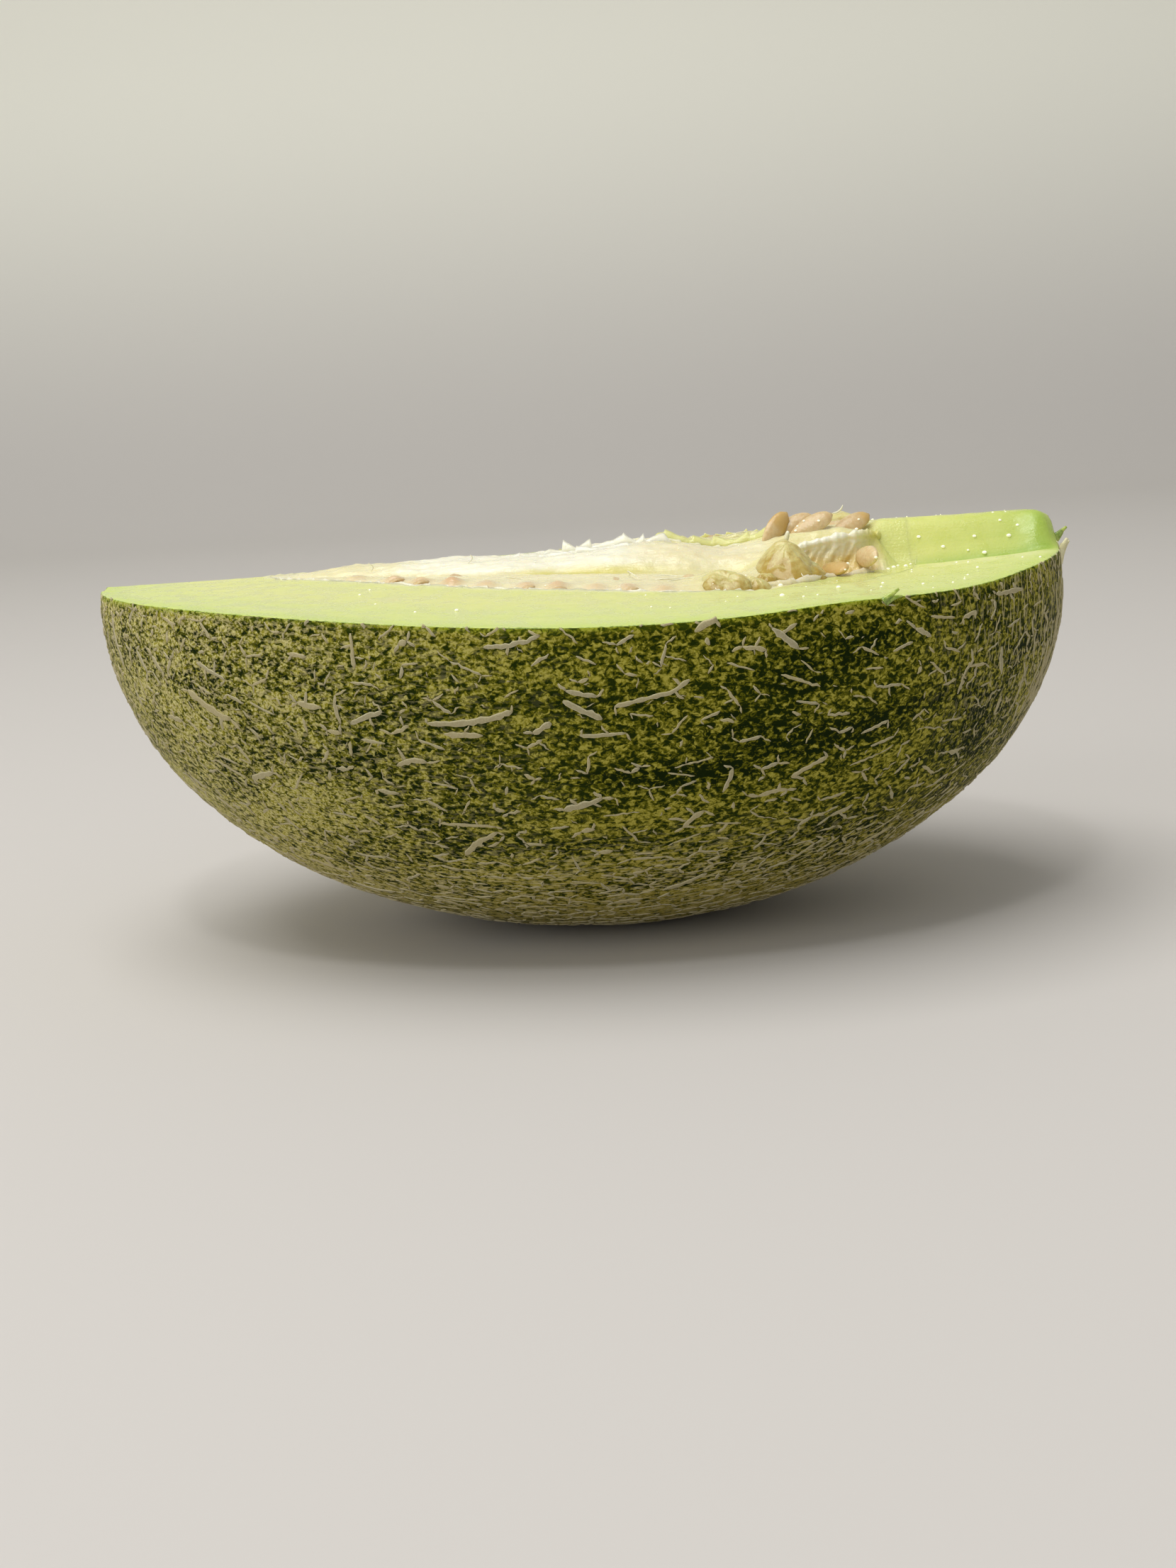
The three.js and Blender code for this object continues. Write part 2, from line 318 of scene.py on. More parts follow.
    def far_cut(self, x: Array, y: Array) -> Array:
        """Height of the far cut, which stands proud towards the stem end.

        Args:
            x: Places along the fruit.
            y: Places across it.

        Returns:
            Heights round the cut level.
        """
        along = np.clip(x / self.radii[0], -1, 1)
        start, stop = self.ridge_end
        ending = np.clip((x - start) / (stop - start), 0, 1)
        rounding = mix(self.ridge_left, 1, np.sqrt(1 - ending ** 2))
        middle = self.step_top_rise * smooth(0, self.step_full, x) * rounding
        rim = (-self.far_dip + self.far_rise * along) * (1 - along ** 2) ** self.far_power
        return mix(middle, rim, np.clip(np.abs(y) / self.rim_half_width(x), 0, 1.2))

    def cut_height(self, x: Array, y: Array) -> Array:
        """Height of the cut face, with its step between the two cuts."""
        return mix(self.near_cut(x, y), self.far_cut(x, y), smooth(self.step_foot_y, self.step_top_y, y))

    def axis_level(self, x: Array) -> Array:
        """Height of the fruit's axis."""
        return -self.axis_drop - math.tan(self.axis_tilt) * x

    def cavity_radius(self, x: Array) -> Array:
        """Radius of the seed cavity round the axis.

        Args:
            x: Places along the fruit.

        Returns:
            Radii.
        """
        blossom = np.clip((self.cavity_widest - x) / self.cavity_to_blossom, 0, 1)
        stem = np.clip((x - self.cavity_widest) / self.cavity_to_stem, 0, 1)
        radius = self.cavity_radius_most * (1 - blossom ** self.blossom_power)
        return radius * np.sqrt(1 - stem ** self.stem_power)

    def cavity_half_width(self, x: Array) -> Array:
        """Half the width of the cavity at the cut level."""
        return np.sqrt(np.maximum(self.cavity_radius(x) ** 2 - self.axis_level(x) ** 2, 0.01))

    def cavity_ends(self) -> Pair:
        """Find the ends of the cavity's outline at the cut level.

        Returns:
            Both ends along the fruit.
        """
        reach = (self.cavity_widest - self.cavity_to_blossom, self.cavity_widest + self.cavity_to_stem)
        x = np.linspace(*reach, 4001)
        open_here = x[self.cavity_radius(x) > np.abs(self.axis_level(x))]
        return float(open_here[0]), float(open_here[-1])

    def cavity_floor(self, x: Array, y: Array) -> Array:
        """Height of the cavity's lower wall."""
        return self.axis_level(x) - np.sqrt(np.maximum(self.cavity_radius(x) ** 2 - y ** 2, 0))

    def pulp_form(self, x: Array, y: Array) -> Array:
        """Height of the pulp's main forms: edge shelves, valleys, a crest and mounds.

        Args:
            x: Places along the fruit.
            y: Places across it.

        Returns:
            Heights round the cut level.
        """
        across = np.clip(np.abs(y) / self.cavity_half_width(x), 0, 1)
        inside = 1 - across
        edge = self.cut_height(x, y) - self.pulp_recess + self.pulp_shelf * smooth(0, 0.2, inside)
        crest = self.pulp_crest + self.peak_rise * bump(x - self.peak_x, self.peak_spread)
        lump_x, lump_y = self.stem_lump
        crest = crest + 2.6 * bump(x - lump_x, 14) * bump(y - lump_y, 9)
        valley = self.valley_depth * bump(across - self.valley_at, self.valley_spread)
        level = mix(edge, crest, smooth(0.5, 0.14, across)) - valley
        return level + sum(lump.at(x, y) for lump in self.jelly) * smooth(0, 0.12, inside)


FORM = MelonForm()


class SeedEnd(NamedTuple):
    """Blunt end of a seed at the cavity's near edge: how high it stands, and how brown it is."""

    x: float
    rise: float
    blush: float


NEAR_ENDS = (
    SeedEnd(-48, -1.2, 0.1), SeedEnd(-39.2, 0, 0.7), SeedEnd(-33.4, -0.2, 0.6), SeedEnd(-26.6, -1.3, 1),
    SeedEnd(-19.5, -0.8, 0.4), SeedEnd(-11, -0.5, 0.6), SeedEnd(-4.6, -0.6, 0.7), SeedEnd(3.4, -1.1, 0.3),
    SeedEnd(9.8, -0.5, 0.5), SeedEnd(17, -1.1, 0.3),
)


class MeshParts:
    """Collects stacks of rings into one mesh of closed bodies."""

    def __init__(self) -> None:
        """Start with nothing."""
        self.points: list[Array] = []
        self.faces: list[Array] = []
        self.values: dict[str, list[Array]] = {}
        self.count = 0

    def add_stacks(self, points: Array, turned: bool = False, **values: object) -> "MeshParts":
        """Skin stacks of rings and close both ends of each.

        Args:
            points: Corners, of shape (stacks, rings, points a ring, 3).
            turned: Whether the rings run the other way round.
            values: Numbers that spread over the corners, under their names.

        Returns:
            This mesh.
        """
        stacks, rings, around, _ = points.shape
        ring, spot = np.meshgrid(np.arange(rings - 1), np.arange(around), indexing="ij")
        here, after = ring * around + spot, ring * around + (spot + 1) % around
        quads = np.stack([here, here + around, after + around, after], axis=-1).reshape(-1, 4)
        fan = np.arange(1, around - 1)
        first = np.stack([np.zeros_like(fan), fan, fan + 1], axis=-1)
        caps = np.concatenate([first, first[:, ::-1] + (rings - 1) * around])
        starts = self.count + np.arange(stacks)[:, None, None] * rings * around
        for block in (quads, caps):
            moved = (block[None] + starts).reshape(-1, block.shape[1])
            self.faces.append(moved[:, ::-1] if turned else moved)
        self.points.append(points.reshape(-1, 3))
        for name, numbers in values.items():
            self.values.setdefault(name, []).append(np.broadcast_to(numbers, points.shape[:3]).ravel())
        self.count += stacks * rings * around
        return self

    def build(self, name: str) -> Piece:
        """Make the object, in the frame.

        Args:
            name: Name of the piece.

        Returns:
            A smooth-shaded mesh object.
        """
        mesh = bpy.data.meshes.new(name)
        points = FORM.in_frame(np.concatenate(self.points))
        sizes = np.concatenate([np.full(len(block), block.shape[1]) for block in self.faces])
        corners = np.concatenate([block.ravel() for block in self.faces])
        mesh.vertices.add(len(points))
        mesh.vertices.foreach_set("co", points.ravel())
        mesh.loops.add(len(corners))
        mesh.loops.foreach_set("vertex_index", corners.astype(np.int32))
        mesh.polygons.add(len(sizes))
        starts = np.concatenate([[0], np.cumsum(sizes)[:-1]])
        mesh.polygons.foreach_set("loop_start", starts.astype(np.int32))
        mesh.polygons.foreach_set("loop_total", sizes.astype(np.int32))
        mesh.update(calc_edges=True)
        mesh.polygons.foreach_set("use_smooth", np.ones(len(sizes), dtype=bool))
        for key, blocks in self.values.items():
            numbers = np.concatenate(blocks).astype(np.float32)
            mesh.attributes.new(key, "FLOAT", "POINT").data.foreach_set("value", numbers)
        piece = bpy.data.objects.new(name, mesh)
        bpy.context.collection.objects.link(piece)
        return piece


def hand_over(piece: Piece, slot: str, materials: list[bpy.types.Material], *nodes: str) -> None:
    """Give a piece its materials and join it to the frame.

    Args:
        piece: The mesh object.
        slot: Its material slot in the frame; not used.
        materials: What it is made of.
        nodes: The solids it stands for.
    """
    for material in materials:
        piece.data.materials.append(material)
    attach(piece, "root")
    if nodes:
        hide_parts(*nodes)
    LOG.info("%s: %d corners, %d faces", piece.name, len(piece.data.vertices), len(piece.data.polygons))


def resampled(route: Array, count: int) -> Array:
    """Spread points evenly along a line.

    Args:
        route: Its corners, of shape (n, dimensions).
        count: How many points to set.

    Returns:
        The points, ends included.
    """
    steps = np.linalg.norm(np.diff(route, axis=0), axis=1)
    run = np.concatenate([[0], np.cumsum(np.maximum(steps, 1e-9))])
    places = np.linspace(0, run[-1], count)
    return np.stack([np.interp(places, run, route[:, axis]) for axis in range(route.shape[1])], axis=-1)


def swept(paths: Array, wide: Array, thick: Array, section: Array, up: Array) -> Array:
    """Sweep a section along lines.

    Args:
        paths: Lines, of shape (lines, points, 3).
        wide: Half width at each point, of shape (lines, points).
        thick: Height scale at each point, of shape (lines, points).
        section: Places across and upwards, anticlockwise, of shape (corners, 2).
        up: Upward directions that broadcast to the paths.

    Returns:
        Rings of shape (lines, points, corners, 3).
    """
    ahead = np.gradient(paths, axis=1)
    side = unit(np.cross(ahead, np.broadcast_to(up, paths.shape)))
    rise = unit(np.cross(side, ahead))
    across = side[:, :, None, :] * (wide[..., None] * section[:, 0])[..., None]
    upward = rise[:, :, None, :] * (thick[..., None] * section[:, 1])[..., None]
    return paths[:, :, None, :] + across + upward


def circle(corners: int) -> Array:
    """Round section of radius 1."""
    turn = np.arange(corners) * 2 * math.pi / corners
    return together(np.cos(turn), np.sin(turn))


def blunt(count: int, power: float) -> Array:
    """Shares from near 0 at both ends to 1 in the middle of a line."""
    return np.sin(np.pi * (np.arange(count) + 0.5) / count) ** power


class Cloud(NamedTuple):
    """A cloudy noise: its width in millimetres, its finer sizes and their strength, its twist and stretch."""

    size: float
    detail: float
    rough: float
    warp: float = 0
    stretch: Place = (1, 1, 1)


class Coat(NamedTuple):
    """A colour that lies where a mesh value says, mapped from a range and made ragged by a cloud."""

    value: str
    colour: Colour
    share: float = 1
    reach: Pair | None = None
    ragged: float = 0


class Shader:
    """Short words for making and joining a material's nodes."""

    def __init__(self, tree: bpy.types.NodeTree) -> None:
        """Work on one node tree."""
        self.tree = tree

    def node(self, kind: str, **settings: object) -> bpy.types.Node:
        """Add a node.

        Args:
            kind: Blender's name for it.
            settings: Properties to set on it.

        Returns:
            The node.
        """
        made = self.tree.nodes.new(kind)
        for key, value in settings.items():
            setattr(made, key, value)
        return made

    def join(self, source: object, target: Socket) -> None:
        """Link a socket, or set a plain value.

        Args:
            source: The socket or the value.
            target: The input that takes it.
        """
        if isinstance(source, Socket):
            self.tree.links.new(source, target)
        else:
            target.default_value = source

    def feed(self, node: bpy.types.Node, **inputs: object) -> bpy.types.Node:
        """Link or set several inputs of a node.

        Args:
            node: The node.
            inputs: Sockets or values under the inputs' names, with _ for a space.

        Returns:
            The node.
        """
        for name, source in inputs.items():
            self.join(source, node.inputs[name.replace("_", " ")])
        return node

    def value(self, name: str) -> Socket:
        """Read a value stored on the mesh."""
        return self.node("ShaderNodeAttribute", attribute_name=name).outputs["Fac"]

    def maths(self, operation: str, *terms: object) -> Socket:
        """Do arithmetic.

        Args:
            operation: Blender's name for it.
            terms: Sockets or numbers.

        Returns:
            The result.
        """
        made = self.node("ShaderNodeMath", operation=operation)
        for term, socket in zip(terms, made.inputs):
            self.join(term, socket)
        return made.outputs[0]

    def times(self, first: object, second: object) -> Socket:
        """Multiply two numbers."""
        return self.maths("MULTIPLY", first, second)

    def times_plus(self, value: object, factor: object, extra: object) -> Socket:
        """Multiply a value by a factor and add something."""
        return self.maths("MULTIPLY_ADD", value, factor, extra)

    def shifted(self, value: object, cloud: object, amount: float) -> Socket:
        """Add a cloudy noise round a value, so that its edges turn ragged."""
        return self.maths("ADD", value, self.times_plus(cloud, amount, -amount / 2))

    def ramp(self, value: object, low: float, high: float, most: float = 1) -> Socket:
        """Rise smoothly from 0 at low to the most at high.

        Args:
            value: The socket to map.
            low: Start of the range, which may lie above high.
            high: End of the range.
            most: Result at the end.

        Returns:
            The mapped value.
        """
        made = self.node("ShaderNodeMapRange", interpolation_type="SMOOTHSTEP", clamp=True)
        for socket, term in zip(made.inputs, (value, low, high, 0, most)):
            self.join(term, socket)
        return made.outputs[0]

    def blend(self, part: object, first: object, second: object, kind: str = "MIX") -> Socket:
        """Mix two colours.

        Args:
            part: Share of the second colour.
            first: Socket or colour.
            second: Socket or colour.
            kind: Blender's name for the way of mixing.

        Returns:
            The mixed colour.
        """
        made = self.node("ShaderNodeMix", data_type="RGBA", blend_type=kind)
        self.join(part, made.inputs["Factor"])
        for term, socket in ((first, made.inputs[6]), (second, made.inputs[7])):
            self.join((*term, 1) if isinstance(term, tuple) else term, socket)
        return made.outputs[2]

    def layers(self, colour: object, *coats: tuple[object, object]) -> object:
        """Lay colours over one another.

        Args:
            colour: The lowest, a socket or a colour.
            coats: For each layer its share and its colour.

        Returns:
            The colour of them all.
        """
        for part, coat in coats:
            colour = self.blend(part, colour, coat)
        return colour

    def coated(self, colour: object, coats: tuple[Coat, ...], cloud: Socket | None = None) -> object:
        """Lay coats over a colour.

        Args:
            colour: The lowest, a socket or a colour.
            coats: The coats, from the lowest up.
            cloud: The noise that makes their edges ragged.

        Returns:
            The colour of them all.
        """
        for coat in coats:
            part = self.value(coat.value)
            if coat.ragged:
                part = self.shifted(part, cloud, coat.ragged)
            if coat.reach:
                part = self.ramp(part, *coat.reach, coat.share)
            elif coat.share < 1:
                part = self.times(part, coat.share)
            colour = self.blend(part, colour, coat.colour)
        return colour

    def millimetres(self, stretch: Place = (1, 1, 1)) -> Socket:
        """Places on the object.

        Args:
            stretch: What each axis is divided by.

        Returns:
            The places, in millimetres.
        """
        scale = [1 / MILLIMETRE / part for part in stretch]
        mapping = self.node("ShaderNodeMapping", vector_type="POINT")
        place = self.node("ShaderNodeTexCoord").outputs["Object"]
        return self.feed(mapping, Vector=place, Scale=scale).outputs["Vector"]

    def noise(self, cloud: Cloud) -> Socket:
        """Cloudy noise.

        Args:
            cloud: What it looks like.

        Returns:
            Values round 0.5.
        """
        place, scale = self.millimetres(cloud.stretch), 1 / cloud.size
        made = self.feed(self.node("ShaderNodeTexNoise"), Vector=place, Scale=scale, Detail=cloud.detail)
        return self.feed(made, Roughness=cloud.rough, Distortion=cloud.warp).outputs["Fac"]

    def relief(self, height: object, depth: float) -> Socket:
        """Turn heights, of which 1 stands for a depth in millimetres, into a normal."""
        made = self.feed(self.node("ShaderNodeBump"), Distance=depth * MILLIMETRE, Height=height)
        return made.outputs["Normal"]


class SharedEffect(Enum):
    """Effects that several materials use, each a node group: its name, its inputs and its outputs."""

    STREAKS = ("lengthwise streaks", {"Strength": 1}, ("Mask", "Height"))
    WET = ("wet unevenness", {"Dry": 0.5, "Wet": 0.15, "Share": 0.5}, ("Roughness", "Height"))
    GRAIN = ("fine grain", {"Size": 0.5, "Strength": 0.5}, ("Mask", "Height"))


class EffectGroups:
    """Builds each shared node group once and places it in materials."""

    def __init__(self) -> None:
        """Start with no group built."""
        self.built: dict[SharedEffect, bpy.types.NodeTree] = {}

    def place(self, shader: Shader, effect: SharedEffect, **inputs: object) -> Sockets:
        """Put a group into a material.

        Args:
            shader: The material's nodes.
            effect: Which group.
            inputs: Values or sockets for its inputs, by name.

        Returns:
            The group's outputs.
        """
        if effect not in self.built:
            self.built[effect] = self.build(effect)
        return shader.feed(shader.node("ShaderNodeGroup", node_tree=self.built[effect]), **inputs).outputs

    def build(self, effect: SharedEffect) -> bpy.types.NodeTree:
        """Make a group with its sockets, and with the nodes of the method named like the effect.

        Args:
            effect: Which group.

        Returns:
            The group.
        """
        name, inputs, outputs = effect.value
        tree = bpy.data.node_groups.new(name, "ShaderNodeTree")
        for key, default in inputs.items():
            socket = tree.interface.new_socket(name=key, in_out="INPUT", socket_type="NodeSocketFloat")
            socket.default_value = default
        for key in outputs:
            tree.interface.new_socket(name=key, in_out="OUTPUT", socket_type="NodeSocketFloat")
        shader = Shader(tree)
        results = getattr(self, effect.name.lower())(shader, shader.node("NodeGroupInput").outputs)
        shader.feed(shader.node("NodeGroupOutput"), **dict(zip(outputs, results)))
        return tree

    def streaks(self, shader: Shader, taken: Sockets) -> tuple[Socket, Socket]:
        """Fine fibres that run along the fruit.

        Args:
            shader: The group's nodes.
            taken: Its inputs.

        Returns:
            A mask and a height.
        """
        broad = shader.times(shader.noise(Cloud(1.6, 3, 0.55, 0.4, (14, 1, 1))), 0.65)
        fine = shader.times(shader.noise(Cloud(0.5, 2, 0.6, 0.2, (9, 1, 1))), 0.35)
        both = shader.maths("ADD", broad, fine)
        return shader.times(shader.ramp(both, 0.36, 0.64), taken["Strength"]), both

    def wet(self, shader: Shader, taken: Sockets) -> tuple[Socket, Socket]:
        """Shine and small pits of a wet cut surface.

        Args:
            shader: The group's nodes.
            taken: Its inputs.

        Returns:
            A roughness and a height.
        """
        film, pits = shader.noise(Cloud(5, 3, 0.6)), shader.noise(Cloud(0.55, 3, 0.6))
        edge = shader.times_plus(taken["Share"], 0.4, -0.4)
        wetness = shader.ramp(shader.maths("ADD", film, edge), 0.22, 0.42)
        span = shader.maths("SUBTRACT", taken["Wet"], taken["Dry"])
        height = shader.times_plus(film, 0.6, shader.times(pits, 0.4))
        return shader.times_plus(span, wetness, taken["Dry"]), height

    def grain(self, shader: Shader, taken: Sockets) -> tuple[Socket, Socket]:
        """Fine dark grain.

        Args:
            shader: The group's nodes.
            taken: Its inputs.

        Returns:
            A mask of darker spots and a height.
        """
        scale = shader.maths("DIVIDE", 1, taken["Size"])
        made = shader.feed(shader.node("ShaderNodeTexNoise"), Vector=shader.millimetres(), Scale=scale)
        cloud = made.outputs["Fac"]
        return shader.times(shader.ramp(cloud, 0.62, 0.36), taken["Strength"]), cloud


GROUPS = EffectGroups()


class Glow(NamedTuple):
    """Light that scatters under a surface: its share, its reach in millimetres and its part by colour."""

    weight: float = 0
    reach: float = 2
    tint: Place = (1, 0.8, 0.4)

    def inputs(self) -> dict[str, object]:
        """What the Principled shader takes for it."""
        reach = self.reach * MILLIMETRE
        return dict(Subsurface_Weight=self.weight, Subsurface_Radius=self.tint, Subsurface_Scale=reach)


@dataclass(frozen=True, kw_only=True)
class Finish:
    """What every material of the melon shares."""

    name: str

    def paint(self, shader: Shader) -> dict[str, object]:
        """Lay out the nodes. Each kind of finish has its own way."""
        raise NotImplementedError

    def material(self) -> bpy.types.Material:
        """Build the material.

        Returns:
            The material, with its paint on the Principled shader.
        """
        made = bpy.data.materials.new(self.name)
        made.use_nodes = True
        shader = Shader(made.node_tree)
        shader.feed(made.node_tree.nodes["Principled BSDF"], **self.paint(shader))
        return made


@dataclass(frozen=True, kw_only=True)
class SkinFinish(Finish):
    """Satin skin, mottled dark green on olive."""

    name: str = "melon_skin"
    dark: Colour = linear(30, 42, 0)
    dark_band: Colour = linear(18, 31, 0)
    middle: Colour = linear(84, 85, 6)
    olive: Colour = linear(130, 125, 28)
    gold: Colour = linear(172, 164, 70)
    cork: Colour = linear(204, 192, 138)
    straw: Colour = linear(214, 206, 146)
    rim: Colour = linear(142, 162, 26)
    brown: Colour = linear(166, 144, 76)
    band_cloud: Cloud = Cloud(11, 2, 0.5, 0, (4.5, 1, 1))
    blotch_cloud: Cloud = Cloud(0.95, 4, 0.6, 0.6, (1.4, 1, 1))
    speckle_cloud: Cloud = Cloud(0.5, 2, 0.6)
    thread_cloud: Cloud = Cloud(0.7, 3, 0.6, 0.5, (4, 1, 1))
    ray_cloud: Cloud = Cloud(0.55, 3, 0.6, 0.4, (1, 1, 8))
    roughness: float = 0.55
    shine: float = 0.05
    relief: float = 0.14

    def paint(self, shader: Shader) -> dict[str, object]:
        """Lay out the nodes, which read the mesh values 'below', 'under', 'pale_end' and 'stem_end'.

        Args:
            shader: The material's nodes.

        Returns:
            What feeds the Principled shader.
        """
        under, pale, stem = (shader.value(name) for name in ("under", "pale_end", "stem_end"))
        bands, blotches = shader.noise(self.band_cloud), shader.noise(self.blotch_cloud)
        uneven = shader.times_plus(pale, 0.07, shader.shifted(blotches, bands, 0.34))
        # Painted light: underneath, the olive share rises, standing in for light bounced up onto the
        # underside; the brown and the cork lines there are the rind's own colour.
        uneven = shader.times_plus(under, 0.055, uneven)
        light = shader.ramp(uneven, 0.5, 0.62)
        speckle = shader.noise(self.speckle_cloud)
        bright = shader.layers(
            self.olive,
            (shader.ramp(shader.shifted(speckle, uneven, 0.7), 0.42, 0.68), self.gold),
            (shader.times(under, 0.45), self.brown),
            (shader.times(shader.ramp(speckle, 0.46, 0.58), shader.times(pale, 0.9)), self.straw),
        )
        lined = shader.maths("MAXIMUM", shader.ramp(under, 0.1, 0.9, 0.8), shader.times(pale, 0.6))
        lines = shader.times(shader.ramp(shader.noise(self.thread_cloud), 0.52, 0.58), lined)
        rays = shader.times(shader.ramp(shader.noise(self.ray_cloud), 0.53, 0.6), shader.times(stem, 0.85))
        cracked = shader.maths("MAXIMUM", lines, rays)
        edge = shader.ramp(shader.shifted(shader.value("below"), blotches, 4), 1.6, 0.3)
        colour = shader.layers(
            self.dark,
            (shader.ramp(bands, 0.52, 0.4), self.dark_band),
            (shader.ramp(uneven, 0.43, 0.52), self.middle),
            (light, bright),
            (cracked, self.cork),
            (shader.times(edge, shader.times_plus(light, 0.55, 0.1)), self.rim),
        )
        height = shader.times_plus(speckle, 0.6, shader.times_plus(cracked, 0.8, uneven))
        normal = shader.relief(height, self.relief)
        return dict(Base_Color=colour, Roughness=self.roughness, Specular_IOR_Level=self.shine, Normal=normal)


@dataclass(frozen=True, kw_only=True)
class CoatedFinish(Finish):
    """Coats of colour over a base, some of them over its texture as well."""

    base: Colour
    coats: tuple[Coat, ...]
    over: tuple[Coat, ...] = ()
    relief: float
    glow: Glow = Glow()


@dataclass(frozen=True, kw_only=True)
class WetFinish(CoatedFinish):
    """Wet flesh or pulp, with fibres along the fruit and a film of juice."""

    cloud: Cloud
    streak: float
    fibre_tint: Colour
    fibre_height: float
    dry: float
    wet: float
    wet_share: float

    def paint(self, shader: Shader) -> dict[str, object]:
        """Lay out the nodes.

        Args:
            shader: The material's nodes.

        Returns:
            What feeds the Principled shader.
        """
        cloud = shader.noise(self.cloud)
        streaks = GROUPS.place(shader, SharedEffect.STREAKS, Strength=self.streak)
        film = GROUPS.place(shader, SharedEffect.WET, Dry=self.dry, Wet=self.wet, Share=self.wet_share)
        colour = shader.coated(self.base, self.coats, cloud)
        colour = shader.blend(streaks["Mask"], colour, self.fibre_tint, "MULTIPLY")
        height = shader.times_plus(streaks["Height"], self.fibre_height, film["Height"])
        return dict(
            Base_Color=shader.coated(colour, self.over, cloud),
            Roughness=film["Roughness"],
            Normal=shader.relief(height, self.relief),
            **self.glow.inputs(),
        )


@dataclass(frozen=True, kw_only=True)
class GrainyFinish(CoatedFinish):
    """Cork or seed coats, with fine dark grain."""

    roughness: float
    shine: float = 0.5
    grain_size: float
    grain_share: float
    grain_tint: Colour

    def paint(self, shader: Shader) -> dict[str, object]:
        """Lay out the nodes.

        Args:
            shader: The material's nodes.

        Returns:
            What feeds the Principled shader.
        """
        grain = GROUPS.place(shader, SharedEffect.GRAIN, Size=self.grain_size, Strength=self.grain_share)
        colour = shader.coated(self.base, self.coats)
        colour = shader.blend(grain["Mask"], colour, self.grain_tint, "MULTIPLY")
        return dict(
            Base_Color=shader.coated(colour, self.over),
            Roughness=self.roughness,
            Specular_IOR_Level=self.shine,
            Normal=shader.relief(grain["Height"], self.relief),
            **self.glow.inputs(),
        )


@dataclass(frozen=True, kw_only=True)
class GlossFinish(CoatedFinish):
    """Wet see-through stuff: jelly or juice, with a painted glint where the surface glows."""

    roughness: float
    gloss: float
    gloss_roughness: float = 0.05
    # Painted glint: how strongly the surface glows in its own colour.
    glint: float = 0
    index: float = 1.36
    relief: float = 0.3
    cloud: Cloud = Cloud(1.8, 3, 0.6, 0.4)

    def paint(self, shader: Shader) -> dict[str, object]:
        """Lay out the nodes.

        Args:
            shader: The material's nodes.

        Returns:
            What feeds the Principled shader.
        """
        cloud = shader.noise(self.cloud)
        return dict(
            Base_Color=shader.coated(self.base, self.coats, cloud),
            Roughness=self.roughness,
            Coat_Weight=self.gloss,
            Coat_Roughness=self.gloss_roughness,
            # Painted glint: the surface glows in its base colour.
            Emission_Color=(*self.base, 1),
            Emission_Strength=self.glint,
            IOR=self.index,
            Normal=shader.relief(cloud, self.relief),
            **self.glow.inputs(),
        )


@dataclass(frozen=True, kw_only=True)
class PaperFinish(Finish):
    """Matt pale paper of the floor and the backdrop."""

    name: str = "studio_paper"
    floor: Colour = linear(206, 202, 198)
    # upper is the paper's colour at the top of the backdrop, lighter as painted light.
    upper: Colour = linear(252, 251, 239)
    fade: Pair = (20, 440)
    roughness: float = 0.9
    shine: float = 0.1

    def paint(self, shader: Shader) -> dict[str, object]:
        """Lay out the nodes, lighter towards the top of the backdrop.

        Args:
            shader: The material's nodes.

        Returns:
            What feeds the Principled shader.
        """
        parts = shader.feed(shader.node("ShaderNodeSeparateXYZ"), Vector=shader.millimetres())
        # Painted light: the paper turns lighter up the backdrop.
        colour = shader.blend(shader.ramp(parts.outputs["Z"], *self.fade), self.floor, self.upper)
        return dict(Base_Color=colour, Roughness=self.roughness, Specular_IOR_Level=self.shine)


FLESH = WetFinish(
    name="melon_flesh",
    base=linear(104, 136, 34),
    coats=(
        Coat("depth", linear(202, 216, 122), reach=(0, 0.4), ragged=1.3),
        Coat("depth", linear(212, 220, 140), reach=(0.6, 7), ragged=1.3),
        Coat("depth", linear(220, 222, 146), reach=(8, 26)),
        Coat("step", linear(220, 224, 128), 0.85),
        # Painted shade: a darker green in the crease at the step's foot, down the step towards its stem end
        # and over the knob; on the torn rind the same coat only deepens its green.
        Coat("foot", linear(162, 190, 76), ragged=0.2),
        Coat("lip", linear(244, 238, 196)),
    ),
    cloud=Cloud(1.3, 3, 0.6),
    relief=0.14,
    glow=Glow(0.35, 4, (1, 0.9, 0.35)),
    streak=0.2,
    fibre_tint=(0.8, 0.9, 0.6),
    fibre_height=0.6,
    dry=0.5,
    wet=0.22,
    wet_share=0.55,
)
PULP = WetFinish(
    name="melon_pulp",
    base=linear(236, 229, 188),
    coats=(
        Coat("white", linear(246, 243, 222), reach=(0.2, 0.8), ragged=1.1),
        # Deeper yellow: painted shade in the valley beside the crest, and the own yellow of the mounds, the
        # far side and the ends.
        Coat("yellow", linear(222, 214, 130)),
        Coat("amber", linear(228, 204, 130), reach=(0.2, 0.9), ragged=0.9),
        Coat("pink", linear(216, 174, 134)),
    ),
    over=(Coat("green", linear(218, 222, 134)),),
    cloud=Cloud(2.6, 4, 0.62, 0.5, (2.6, 1, 1)),
    relief=0.22,
    glow=Glow(0.3, 2.5, (1, 0.8, 0.4)),
    streak=0.3,
    fibre_tint=(0.9, 0.84, 0.62),
    fibre_height=0.8,
    dry=0.42,
    wet=0.14,
    wet_share=0.7,
)
THIN_PULP = replace(PULP, name="pulp_threads", glow=Glow())
